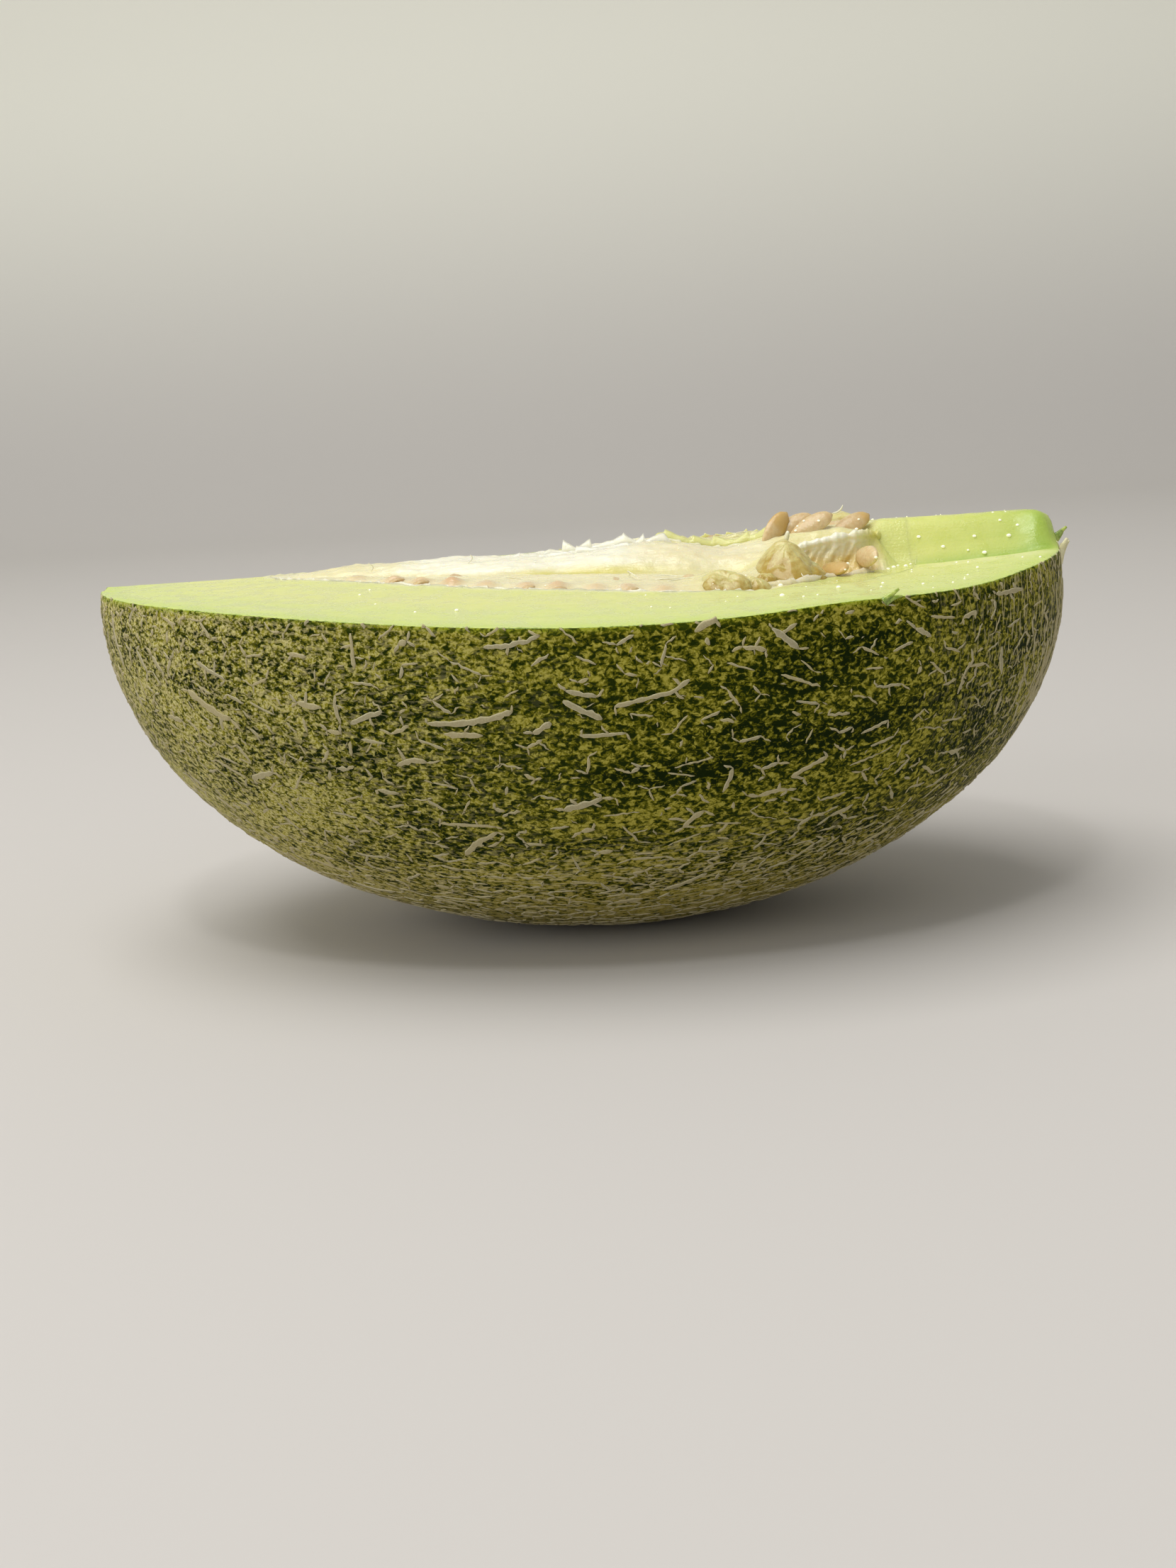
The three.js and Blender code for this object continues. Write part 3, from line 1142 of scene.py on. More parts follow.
NET = GrainyFinish(
    name="melon_net",
    base=linear(172, 164, 132),
    # Paler along each rib's sides and greyer down its middle: painted light on the sides and painted shade
    # for the rib's centre line.
    coats=(Coat("across", linear(208, 200, 164), reach=(0.5, 0.9)), Coat("tint", linear(190, 177, 130))),
    relief=0.08,
    roughness=0.7,
    shine=0.25,
    grain_size=0.35,
    grain_share=0.4,
    grain_tint=(0.7, 0.66, 0.56),
)
SEED_COAT = GrainyFinish(
    name="melon_seeds",
    base=linear(216, 193, 146),
    coats=(
        Coat("tint", linear(234, 214, 168)),
        Coat("blush", linear(196, 164, 112)),
        # Painted highlight: each seed is paler along its rim.
        Coat("edge", linear(234, 214, 168), 0.45, (0.55, 1)),
    ),
    over=(Coat("torn", linear(206, 172, 106)),),
    relief=0.12,
    glow=Glow(0.25, 1.5, (1, 0.6, 0.3)),
    roughness=0.26,
    grain_size=0.9,
    grain_share=0.35,
    grain_tint=(0.8, 0.64, 0.46),
)
JELLY = GlossFinish(
    name="amber_jelly",
    base=linear(216, 206, 138),
    # Deeper amber: the jelly's own colour, laid more thickly towards each cap's foot as painted shade.
    coats=(Coat("deep", linear(176, 147, 60), reach=(0.15, 0.95), ragged=1.4),),
    roughness=0.35,
    gloss=0.5,
    glow=Glow(0.3, 2, (1, 0.6, 0.25)),
)
# Painted glints: the juice beads are painted near white and glow faintly, standing in for highlights.
JUICE_GLINTS = GlossFinish(
    name="juice_glints",
    base=linear(254, 253, 232),
    coats=(Coat("deep", linear(250, 248, 214), reach=(0.15, 0.95), ragged=1.4),),
    roughness=0.1,
    gloss=0.3,
    glint=0.25,
)


@dataclass
class MelonBody:
    """Rind, cut flesh and cavity wall as one closed skin."""

    columns: int = 560
    rind_rows: int = 118
    rim_search: Pair = (math.radians(-25), math.radians(40))
    halvings: int = 40
    edge_inset: float = 0.35
    first_insets: tuple[float, ...] = (0.4, 0.8, 1.2, 1.7, 2.3, 3.1, 4.1)
    face_rows: int = 34
    wall_rows: int = 9
    knob: Lump = Lump(100.2, -5.2, 3.2, 2.4)
    foot_groove: float = 0.7
    under_reach: Pair = (-38, -72)
    pale_reach: Pair = (10, -95)
    stem_reach: Pair = (62, 98)
    step_reach: Pair = (38, 60)
    skin_noise: Unevenness = Unevenness(11)
    face_noise: Unevenness = Unevenness(12)

    def skin_point(self, latitude: Array, longitude: Array) -> Array:
        """Place on the egg at a latitude and longitude, in level axes."""
        x, y, z = np.cos(latitude) * np.cos(longitude), np.cos(latitude) * np.sin(longitude), np.sin(latitude)
        return FORM.out_of_axes(together(x, y, z) * FORM.radii)

    def rim_latitude(self, longitude: Array) -> Array:
        """Find by halving steps where each meridian meets the cut face.

        Args:
            longitude: The meridians.

        Returns:
            A latitude for each.
        """
        low, high = self.rim_search
        for _ in range(self.halvings):
            middle = (low + high) / 2
            x, y, z = np.moveaxis(self.skin_point(middle, longitude), -1, 0)
            above = z > FORM.cut_height(x, y)
            low, high = np.where(above, low, middle), np.where(above, middle, high)
        return (low + high) / 2

    def unevenness(self, points: Array) -> Array:
        """How far the skin stands proud of the smooth egg, in millimetres."""
        return 0.35 * self.skin_noise.at(points, 26) + 0.1 * self.skin_noise.at(points, 5)

    def foot(self, x: Array, y: Array) -> Array:
        """How near points are to the foot of the step."""
        return bump(y - FORM.step_foot_y - 0.4, 1.1) * smooth(66, 80, x) * smooth(104, 100, x)

    def face_relief(self, x: Array, y: Array, lip: Array | float = FAR) -> Array:
        """Unevenness of the cut face: soft waves, knife marks, a knob, a groove and a ragged lip.

        Args:
            x: Places along the fruit.
            y: Places across it.
            lip: Distance from the cavity's edge.

        Returns:
            Heights to add, in millimetres.
        """
        place = together(x, y * 2.2, 0)
        waves = 0.22 * self.face_noise.at(place, 22) + 0.08 * self.face_noise.at(place, 4.5)
        ragged = 0.25 + 0.45 * self.face_noise.layered(place, 3, 3)
        waves = waves + ragged * smooth(2.4, 0.2, lip) * smooth(54, 42, x)
        return waves + self.knob.at(x, y) - self.foot_groove * self.foot(x, y)

    def lip_points(self, longitude: Array) -> tuple[Array, Array]:
        """The cavity's edge at the cut level, one point for each meridian.

        Args:
            longitude: The meridians.

        Returns:
            Places along the fruit and places across it.
        """
        start, stop = FORM.cavity_ends()
        x = (start + stop) / 2 + (stop - start) / 2 * np.cos(longitude)
        return x, np.sign(np.sin(longitude)) * FORM.cavity_half_width(x)

    def rind(self, rim: Array, longitude: Array) -> Array:
        """Rows of the skin from the resting spot to just below the rim.

        Args:
            rim: Latitude of the rim on each meridian.
            longitude: The meridians.

        Returns:
            Points of shape (rows, columns, 3).
        """
        share = np.arange(1, self.rind_rows + 1)[:, None] / self.rind_rows
        latitude = -math.pi / 2 + (rim - self.edge_inset / FORM.radii[2] + math.pi / 2) * share
        rows = self.skin_point(latitude, longitude[None, :])
        own = FORM.into_axes(rows)
        rows = FORM.out_of_axes(own + FORM.outward(own) * self.unevenness(rows)[..., None])
        rows[..., 2] = np.maximum(rows[..., 2], FORM.lowest)
        return rows

    def face(self, rim_point: Array, lip_x: Array, lip_y: Array) -> tuple[Array, Array]:
        """Rows of the cut face from the rim to the cavity's edge.

        Args:
            rim_point: The rim.
            lip_x: The cavity's edge along the fruit.
            lip_y: The cavity's edge across it.

        Returns:
            Points of shape (rows, columns, 3), and their distance from the cavity's edge.
        """
        run = np.hypot(lip_x - rim_point[:, 0], lip_y - rim_point[:, 1])
        firsts = np.array(self.first_insets)[:, None] / run
        rest = np.linspace(0, 1, self.face_rows + 1)[1:, None]
        shares = np.concatenate([firsts, firsts[-1] + (1 - firsts[-1]) * rest])
        x, y = mix(rim_point[:, 0], lip_x, shares), mix(rim_point[:, 1], lip_y, shares)
        lip = np.hypot(x - lip_x, y - lip_y)
        fade = np.clip(shares * run / 2, 0, 1)
        return together(x, y, FORM.cut_height(x, y) + self.face_relief(x, y, lip) * fade), lip

    def build(self) -> Piece:
        """Make the mesh.

        Returns:
            The piece.
        """
        longitude = np.arange(self.columns) * 2 * math.pi / self.columns
        rim = self.rim_latitude(longitude)
        rim_point = self.skin_point(rim, longitude)
        rind = self.rind(rim, longitude)
        lip_x, lip_y = self.lip_points(longitude)
        face, lip = self.face(rim_point, lip_x, lip_y)
        corner = mix(mix(rind[-1], face[0], 0.5), rim_point, 0.35)
        inward = (np.arange(1, self.wall_rows + 1) / (self.wall_rows + 1))[:, None] ** 1.6
        wall_x, wall_y = mix(lip_x, sum(FORM.cavity_ends()) / 2, inward), lip_y * (1 - inward)
        wall = together(wall_x, wall_y, FORM.cavity_floor(wall_x, wall_y))
        rows = np.concatenate([rind, corner[None], face, wall])
        x, y, z = np.moveaxis(rows, -1, 0)
        lip_all = np.full(x.shape, FAR)
        lip_all[self.rind_rows + 1:-self.wall_rows] = lip
        lip_all[-self.wall_rows:] = 0
        on_step = smooth(FORM.step_foot_y - 3, FORM.step_foot_y + 2, y) * smooth(*self.step_reach, x)
        under_step = bump(y - FORM.step_foot_y + 4.5, 3.5) * smooth(70, 84, x) * smooth(104, 98, x)
        # Painted shade: the foot value darkens the crease at the step's foot and the step towards its stem
        # end.
        foot = 0.8 * self.foot(x, y) + 0.4 * on_step * smooth(70, 102, x)
        piece = MeshParts().add_stacks(
            rows[None],
            turned=True,
            below=rim_point[:, 2] - z,
            # under also carries the painted light that lifts the underside's olive share.
            under=smooth(*self.under_reach, z),
            pale_end=smooth(*self.pale_reach, x),
            stem_end=smooth(*self.stem_reach, x),
            depth=np.maximum(FORM.skin_depth(rows), 0),
            lip=smooth(1.5, 0.2, lip_all) * smooth(34, 12, x) + 0.35 * under_step,
            step=on_step,
            # Painted shade over the knob is added here.
            foot=np.minimum(foot + 0.5 * self.knob.share(x, y, 1.4), 1),
        ).build("melon_body")
        kinds = np.zeros(len(piece.data.polygons), dtype=np.int32)
        kinds[self.rind_rows * self.columns:(len(rows) - 1) * self.columns] = 1
        kinds[-(self.columns - 2):] = 1
        piece.data.polygons.foreach_set("material_index", kinds)
        return piece


class SkinWeb:
    """Walls between cells that cover the egg, as a graph of corners."""

    def __init__(self, cells: int, uneven: float, draw: Draw) -> None:
        """Spread the cells and find the corners where three of them meet.

        Args:
            cells: How many cells cover the whole egg.
            uneven: How far cells stray, against their spacing.
            draw: Source of random numbers.
        """
        order = np.arange(cells) + 0.5
        level = 1 - 2 * order / cells
        turn, flat = math.pi * (3 - math.sqrt(5)) * order, np.sqrt(1 - level ** 2)
        middles = together(np.cos(turn) * flat, np.sin(turn) * flat, level)
        spacing = math.sqrt(4 * math.pi / cells)
        middles = unit(middles + draw.normal(0, uneven * spacing, middles.shape))
        hull = bmesh.new()
        for middle in middles:
            hull.verts.new(middle)
        bmesh.ops.convex_hull(hull, input=hull.verts)
        hull.faces.index_update()
        centres = np.array([face.calc_center_median() for face in hull.faces])
        self.corners = FORM.on_skin(centres * FORM.radii)
        pairs = [[face.index for face in edge.link_faces] for edge in hull.edges]
        self.walls = [pair for pair in pairs if len(pair) == 2]
        hull.free()
        self.beside: list[list[int]] = [[] for _ in self.corners]
        for first, second in self.walls:
            self.beside[first].append(second)
            self.beside[second].append(first)

    def walk(self, start: int, way: Array, steps: int, taken: set[int]) -> list[int]:
        """Follow walls in one direction.

        Args:
            start: Number of the first corner.
            way: The direction.
            steps: How many walls to follow at most.
            taken: Corners to keep clear of.

        Returns:
            Numbers of the corners passed.
        """
        path = [start]
        while len(path) <= steps:
            here = self.corners[path[-1]]
            ways_on = [n for n in self.beside[path[-1]] if n not in taken and n not in path]
            leads = [(float(unit(self.corners[n] - here) @ way), n) for n in ways_on]
            best, corner = max(leads, default=(0, -1))
            if best < 0.25:
                break
            path.append(corner)
        return path

    def straighten(self, chain: list[int]) -> None:
        """Pull the corners along a chain towards a straighter line.

        Args:
            chain: Numbers of the corners.
        """
        for _ in range(3):
            inner = self.corners[chain]
            inner[1:-1] = inner[1:-1] * 0.4 + (inner[:-2] + inner[2:]) * 0.3
            self.corners[chain] = FORM.on_skin(inner)


class Rib(NamedTuple):
    """A line of cork on the skin."""

    route: Array
    half_width: float
    height: float


@dataclass(frozen=True)
class RibKind:
    """One size of rib that follows several cell walls."""

    spread: float
    joints: tuple[int, int]
    half_width: Pair
    height: float
    lengthwise: float
    twigs: float


@dataclass
class Netting:
    """The cork net: ribs with twigs, a web of thin lines underneath, and flecks."""

    body: MelonBody
    seed: int = 23
    cells: int = 5600
    cell_stray: float = 0.3
    kinds: tuple[RibKind, ...] = (
        RibKind(0.05, (4, 6), (0.45, 0.8), 0.2, 0.9, 0.35),
        RibKind(0.65, (1, 3), (0.28, 0.7), 0.18, 0.6, 0.45),
        RibKind(1.5, (1, 2), (0.18, 0.34), 0.16, 0.42, 0.4),
    )
    rib_depths: Pair = (-78, -46)
    stem_reach: Pair = (70, 95)
    area: float = 430
    thin_height: float = 0.2
    fleck_spread: float = 1.5
    stem_strings: int = 90
    string_x: float = 100
    string_points: int = 5
    point_spacing: float = 0.95
    flat_section: tuple[Pair, ...] = (
        (-1, -0.9), (1, -0.9), (0.88, 0.8), (0.5, 1), (-0.5, 1), (-0.88, 0.8),
    )
    round_section: tuple[Pair, ...] = ((-1, -0.8), (1, -0.8), (0, 1))
    draw: Draw = field(init=False)
    web: SkinWeb = field(init=False)
    taken: set[int] = field(default_factory=set)

    def __post_init__(self) -> None:
        """Set out the cells whose walls the lines follow."""
        self.draw = np.random.default_rng(self.seed)
        self.web = SkinWeb(self.cells, self.cell_stray, self.draw)

    def corners_to_use(self) -> Array:
        """Choose the order in which corners are tried.

        Returns:
            The corners below the rim, in random order.
        """
        x, y, z = FORM.out_of_axes(self.web.corners).T
        return self.draw.permutation(np.flatnonzero(z < FORM.cut_height(x, y) + 1))

    def heading(self, kind: RibKind, place: Array) -> Array:
        """Choose a direction on the skin.

        Args:
            kind: Size of rib.
            place: Point on the skin.

        Returns:
            A direction in the egg's axes.
        """
        out = FORM.outward(place)
        around = unit(np.cross(out, np.array([1, 0, 0])))
        along = np.cross(around, out)
        steep = smooth(*self.stem_reach, abs(place[0]))
        if self.draw.random() < kind.lengthwise * (1 - 0.7 * steep):
            angle = self.draw.normal(0.1, 0.3)
        else:
            angle = self.draw.uniform(0.5, 2.6)
        return along * math.cos(angle) + around * math.sin(angle)

    def chain(self, kind: RibKind, start: int) -> list[int]:
        """Choose the corners of one rib, and straighten them.

        Args:
            kind: Size of rib.
            start: A corner on it.

        Returns:
            The corners, of which there is one alone where no wall leads the right way.
        """
        way = self.heading(kind, self.web.corners[start])
        steps = int(self.draw.integers(kind.joints[0], kind.joints[1] + 1))
        back = self.web.walk(start, -way, steps // 2, self.taken)
        ahead = self.web.walk(start, way, steps - len(back) + 1, self.taken | set(back))
        corners = back[::-1] + ahead[1:]
        if len(corners) > 1:
            self.web.straighten(corners)
            self.taken.update(corners)
        return corners

    def ribs(self) -> list[Rib]:
        """Lay the ribs and their twigs along cell walls.

        Returns:
            The ribs.
        """
        made: list[Rib] = []
        for kind in self.kinds:
            wanted = int(kind.spread * self.area)
            for start in self.corners_to_use():
                if wanted <= 0:
                    break
                place = self.web.corners[start]
                odds = smooth(*self.rib_depths, FORM.out_of_axes(place)[2])
                if start in self.taken or self.draw.random() > odds:
                    continue
                corners = self.chain(kind, int(start))
                if len(corners) < 2:
                    continue
                narrower = 1 - 0.3 * smooth(*self.stem_reach, place[0])
                half_width = self.draw.uniform(*kind.half_width) * narrower
                route = self.web.corners[corners]
                if len(corners) == 2:
                    route = mix(route[:1], route, np.array([[0], [self.draw.uniform(0.6, 1.4)]]))
                made.append(Rib(route, half_width, kind.height))
                made.extend(self.twigs(corners, half_width, kind))
                wanted -= 1
        return made

    def twigs(self, corners: list[int], half_width: float, kind: RibKind) -> list[Rib]:
        """Short side branches of one rib.

        Args:
            corners: Corners of the rib.
            half_width: Half the rib's width.
            kind: Size of rib.

        Returns:
            The twigs.
        """
        made = []
        for corner in corners:
            for end in self.web.beside[corner]:
                if end in self.taken or self.draw.random() > kind.twigs:
                    continue
                root = self.web.corners[corner]
                tip = mix(root, self.web.corners[end], self.draw.uniform(0.55, 1))
                narrow = min(half_width * 0.62, self.draw.uniform(0.24, 0.4))
                made.append(Rib(np.stack([root, tip]), narrow, kind.height * 0.85))
                self.taken.add(end)
        return made

    def thin_web(self) -> list[Rib]:
        """Thin lines along many of the other walls, mostly underneath.

        Returns:
            The lines.
        """
        made, draw = [], self.draw
        x, _, z = FORM.out_of_axes(self.web.corners).T
        odds = 0.07 + 0.55 * smooth(-38, -62, z) + 0.4 * smooth(66, 96, x)
        odds = odds + 0.2 * smooth(-50, -95, x)
        for first, second in self.web.walls:
            crowded = (first in self.taken) + (second in self.taken)
            if draw.random() < odds[first] * (1, 0.6, 0.15)[crowded]:
                ends = self.web.corners[[first, second]]
                middle = ends.mean(axis=0) + draw.normal(0, 0.22, 3)
                lone = draw.random() > odds[first] * 1.4
                reach = draw.uniform(0.45, 0.9) if lone else 1
                route = middle + (np.stack([ends[0], middle, ends[1]]) - middle) * reach
                made.append(Rib(FORM.on_skin(route), draw.uniform(0.17, 0.33), self.thin_height))
        return made

    def flecks(self) -> list[Rib]:
        """Dots and short dashes.

        Returns:
            The flecks.
        """
        made, draw = [], self.draw
        for _ in range(int(self.fleck_spread * self.area * 2)):
            place = FORM.on_skin(unit(draw.normal(size=3)) * FORM.radii)
            way = np.cross(FORM.outward(place), draw.normal(size=3))
            reach = unit(way) * draw.uniform(0.3, 1.1)
            route = FORM.on_skin(np.stack([place - reach, place + reach]))
            made.append(Rib(route, draw.uniform(0.18, 0.36), self.thin_height))
        return made

    def strings(self) -> list[Rib]:
        """Long upright lines on the stem end.

        Returns:
            The lines.
        """
        made, draw, part = [], self.draw, np.linspace(0, 1, self.string_points)
        for _ in range(self.stem_strings):
            y, top = draw.normal(0, 21), draw.uniform(-24, 2)
            length, drift = draw.uniform(3, 16), draw.normal(0, 3)
            sway = draw.normal(0, 0.7, self.string_points)
            route = together(self.string_x, y + drift * part + sway, top - length * part)
            made.append(Rib(FORM.on_skin(route), draw.uniform(0.16, 0.36), self.thin_height * 0.8))
        return made

    def clipped(self, route: Array) -> tuple[Array, bool] | None:
        """Keep the part of a line that lies on the rind.

        Args:
            route: The line in the egg's axes.

        Returns:
            The part, and whether it ends at the rim, or nothing.
        """
        fine = FORM.on_skin(resampled(route, max(int(np.linalg.norm(route[-1] - route[0]) / 0.4), 4)))
        x, y, z = FORM.out_of_axes(fine).T
        spare = FORM.cut_height(x, y) - z
        if np.any(z < FORM.lowest + 0.35):
            return None
        if np.all(spare > 0):
            return fine, False
        if spare[0] < spare[-1]:
            fine, spare = fine[::-1], spare[::-1]
        inside = int(np.argmax(spare <= 0))
        if inside < 2:
            return None
        part = spare[inside - 1] / (spare[inside - 1] - spare[inside])
        crossing = mix(fine[inside - 1], fine[inside], part)
        return np.concatenate([fine[:inside], crossing[None]]), True

    def raised(self, ribs: list[Rib], section: Array, name: str) -> Piece:
        """Turn lines into one mesh of low cork ribs.

        Args:
            ribs: The lines.
            section: Shape of a rib cut across.
            name: Name of the piece.

        Returns:
            The piece.
        """
        sizes: dict[int, list[tuple[Array, float, float, bool]]] = {}
        for rib in ribs:
            kept = self.clipped(rib.route)
            if kept is None:
                continue
            route, at_rim = kept
            length = float(np.sum(np.linalg.norm(np.diff(route, axis=0), axis=1)))
            count = int(np.clip(round(length / self.point_spacing) + 2, 4, 24))
            sizes.setdefault(count, []).append((resampled(route, count), rib.half_width, rib.height, at_rim))
        parts = MeshParts()
        for group in sizes.values():
            self.raise_group(parts, group, section)
        return parts.build(name)

    def raise_group(self, parts: MeshParts, group: list[tuple], section: Array) -> None:
        """Raise lines that have the same number of points.

        Args:
            parts: The mesh that takes them.
            group: For each line its points, half its width, its height and whether it ends at the rim.
            section: Shape of a rib cut across.
        """
        draw, paths = self.draw, np.stack([row[0] for row in group])
        half_width, height, at_rim = (np.array([row[item] for row in group])[:, None] for item in (1, 2, 3))
        lines, count, _ = paths.shape
        outward = FORM.outward(paths)
        run = np.linalg.norm(paths[:, -1] - paths[:, 0], axis=-1)[:, None] * np.linspace(0, 1, count)
        left = run[:, -1:] - run
        to_end = np.where(at_rim, run, np.minimum(run, left))
        point = draw.uniform(0.7, 2.6, size=(lines, 1)) * half_width
        taper = np.clip((to_end + 0.25 * half_width) / point, 0, 1) ** 0.6
        wide = half_width * taper * draw.uniform(0.7, 1.25, size=(lines, count))
        tall = height * draw.uniform(0.75, 1.2, size=(lines, 1)) * (0.5 + 0.5 * taper)
        fade = np.where(at_rim, np.clip(left / 1.5, 0, 1), 1)
        sideways = unit(np.cross(np.gradient(paths, axis=1), outward))
        paths = paths + sideways * (draw.normal(0, 0.1, size=(lines, count)) * taper)[..., None]
        proud = self.body.unevenness(FORM.out_of_axes(paths)) * fade
        rings = swept(paths + outward * proud[..., None], wide, tall, section, outward)
        tint = (draw.random(lines) * 0.6)[:, None, None]
        # across, 0 in a rib's middle and 1 at its sides, carries the painted light of its sides and the
        # painted shade of its middle.
        parts.add_stacks(FORM.out_of_axes(rings), across=np.abs(section[:, 0]), tint=tint)

    def dress(self) -> None:
        """Build the ribs, the thin web and the flecks, and join them to the frame."""
        flat, peaked = np.array(self.flat_section), np.array(self.round_section)
        layers = (
            (self.ribs(), flat, "net_ribs"),
            ([*self.thin_web(), *self.strings()], flat, "net_web"),
            (self.flecks(), peaked, "net_flecks"),
        )
        cork = NET.material()
        for lines, section, name in layers:
            hand_over(self.raised(lines, section, name), "net", [cork])


@dataclass
class SeedPulp:
    """The pulp that fills the cavity."""

    body: MelonBody
    along: int = 400
    across: int = 190
    under: int = 12
    overlap: float = 5
    hollow: Lump = Lump(55, -16.5, 4.5, -1.2)
    pocket: Lump = Lump(29.8, -35.6, 3, -1.6)
    saddle: Lump = Lump(31, 0, 9, -1.4)
    shore_narrowing: float = 0.37
    shore_reach: Pair = (32, 60)
    tent_rise: float = 1.5
    tent_spread: float = 2.3
    tent_inset: float = 3.6
    fibre_height: float = 0.16
    stem_level: Pair = (60, 67)
    blossom_level: Pair = (-48, -66)
    noise: Unevenness = Unevenness(31)

    def tents(self, x: Array, y: Array) -> Array:
        """Share of the skin of pulp that is drawn over each seed at the near edge.

        Args:
            x: Places along the fruit.
            y: Places across it.

        Returns:
            Shares from 0 to 1.
        """
        total = 0
        for end, _, blush in NEAR_ENDS:
            across = (y + FORM.cavity_half_width(end) - self.tent_inset) / 1.3
            total = total + (0.4 + 0.6 * blush) * bump(np.hypot(x - end, across), self.tent_spread)
        return np.minimum(total, 1)

    def beyond_shore(self, x: Array, y: Array) -> Array:
        """Share of flesh near the stem end, where the pulp's near edge draws in from the cavity's."""
        shore = FORM.cavity_half_width(x) * (1 - self.shore_narrowing * smooth(*self.shore_reach, x))
        return smooth(-0.4, 0.8, -y - shore) * smooth(34, 40, x)

    def height(self, x: Array, y: Array) -> Array:
        """Height of the pulp's torn, fibrous top.

        Args:
            x: Places along the fruit.
            y: Places across it.

        Returns:
            Heights round the cut level.
        """
        across = np.clip(np.abs(y) / FORM.cavity_half_width(x), 0, 1)
        place = together(x / 1.7, y, 0)
        lumps = mix(0.35, 1.05, smooth(0.52, 0.3, across)) * self.noise.layered(place, 6, 3, 0.55)
        folds = 1 - 2 * np.abs(self.noise.at(place * (0.45, 1, 1), 1.9))
        fibres = self.fibre_height * (folds + self.noise.layered(place, 1.3, 2))
        calm = smooth(0, 0.16, 1 - across)
        form = FORM.pulp_form(x, y) + sum(well.at(x, y) for well in (self.hollow, self.pocket, self.saddle))
        form = form + lumps * calm + fibres * (0.3 + 0.7 * calm) + self.tent_rise * self.tents(x, y)
        ending = np.maximum(smooth(*self.stem_level, x), smooth(*self.blossom_level, x))
        level = FORM.cut_height(x, y) + self.body.face_relief(x, y) + 0.05 - 0.3 * smooth(70.5, 75, x)
        return mix(form, level, np.maximum(ending, self.beyond_shore(x, y)))

    def spot(self, x: float, y: float) -> float:
        """Height of the pulp's top at one place."""
        return float(self.height(x, y))

    def build(self) -> Piece:
        """Make the mesh.

        Returns:
            The piece.
        """
        start, stop = FORM.cavity_ends()
        x = np.linspace(start + 0.05, stop - 0.05, self.along)[:, None]
        y = np.linspace(-1, 1, self.across + 1) * (FORM.cavity_half_width(x) + 0.12)
        x = x + self.overlap * smooth(60, 69.5, x)
        top = together(x, y, self.height(x, y))
        top[:, [0, -1], 2] = top[:, [1, -2], 2] - 0.8
        y = np.linspace(1, -1, self.under + 1)[1:-1] * FORM.cavity_half_width(x)
        low = together(x, y, np.minimum(FORM.cavity_floor(x, y) + 0.2, FORM.cut_height(x, y) - 1))
        rings = np.concatenate([top, low], axis=1)
        x, y, _ = np.moveaxis(rings, -1, 0)
        part = np.clip(np.abs(y) / FORM.cavity_half_width(x), 0, 1)
        wells = self.hollow.share(x, y, 1.5) + self.pocket.share(x, y, 1.2)
        mounds = sum(lump.share(x, y, 1.2) for lump in FORM.jelly)
        white = smooth(0.44, 0.34, part) * smooth(50, 38, x) * smooth(-56, -22, x)
        # Painted shade: the valley beside the crest is painted in the deeper yellow.
        groove = bump(part - FORM.valley_at, 0.06) * smooth(-18, -7, x) * mix(1, 0.25, smooth(6, 24, x))
        far = smooth(-2, 3, y) * smooth(12, 20, x)
        shelf = smooth(0.5, 0.6, part) * smooth(0, 24, x) * smooth(0, -1, y)
        crest = smooth(0.42, 0.32, part) * smooth(2, 14, x) * smooth(48, 34, x)
        end = smooth(59, 66, x) + 0.35 * smooth(36, 48, x) + 0.1 * smooth(-34, -62, x)
        return MeshParts().add_stacks(
            rings[None],
            white=white * mix(1, 0.4, smooth(-2, 20, x)),
            amber=np.clip(0.9 * wells + 0.3 * shelf + 0.34 * crest, 0, 1) * smooth(66, 60, x),
            yellow=np.clip(groove + 0.6 * (mounds + far) + end, 0, 1),
            pink=0.85 * self.tents(x, y),
            green=np.maximum(smooth(61, 67, x), self.beyond_shore(x, y)),
        ).build("pulp_mass")


class SeedPlace(NamedTuple):
    """Where one seed lies, how it is turned, leaned and rolled, in degrees, and the share torn brown."""

    x: float
    y: float
    z: float
    turn: float
    lean: float
    roll: float
    blush: float = 0.3
    torn: float = 0


class SeedRow(NamedTuple):
    """A row of seeds inside the cavity's edge, on its far side, 1, or its near side, -1."""

    side: float
    inset: float
    spacing: float
    lean: float
    sink: float


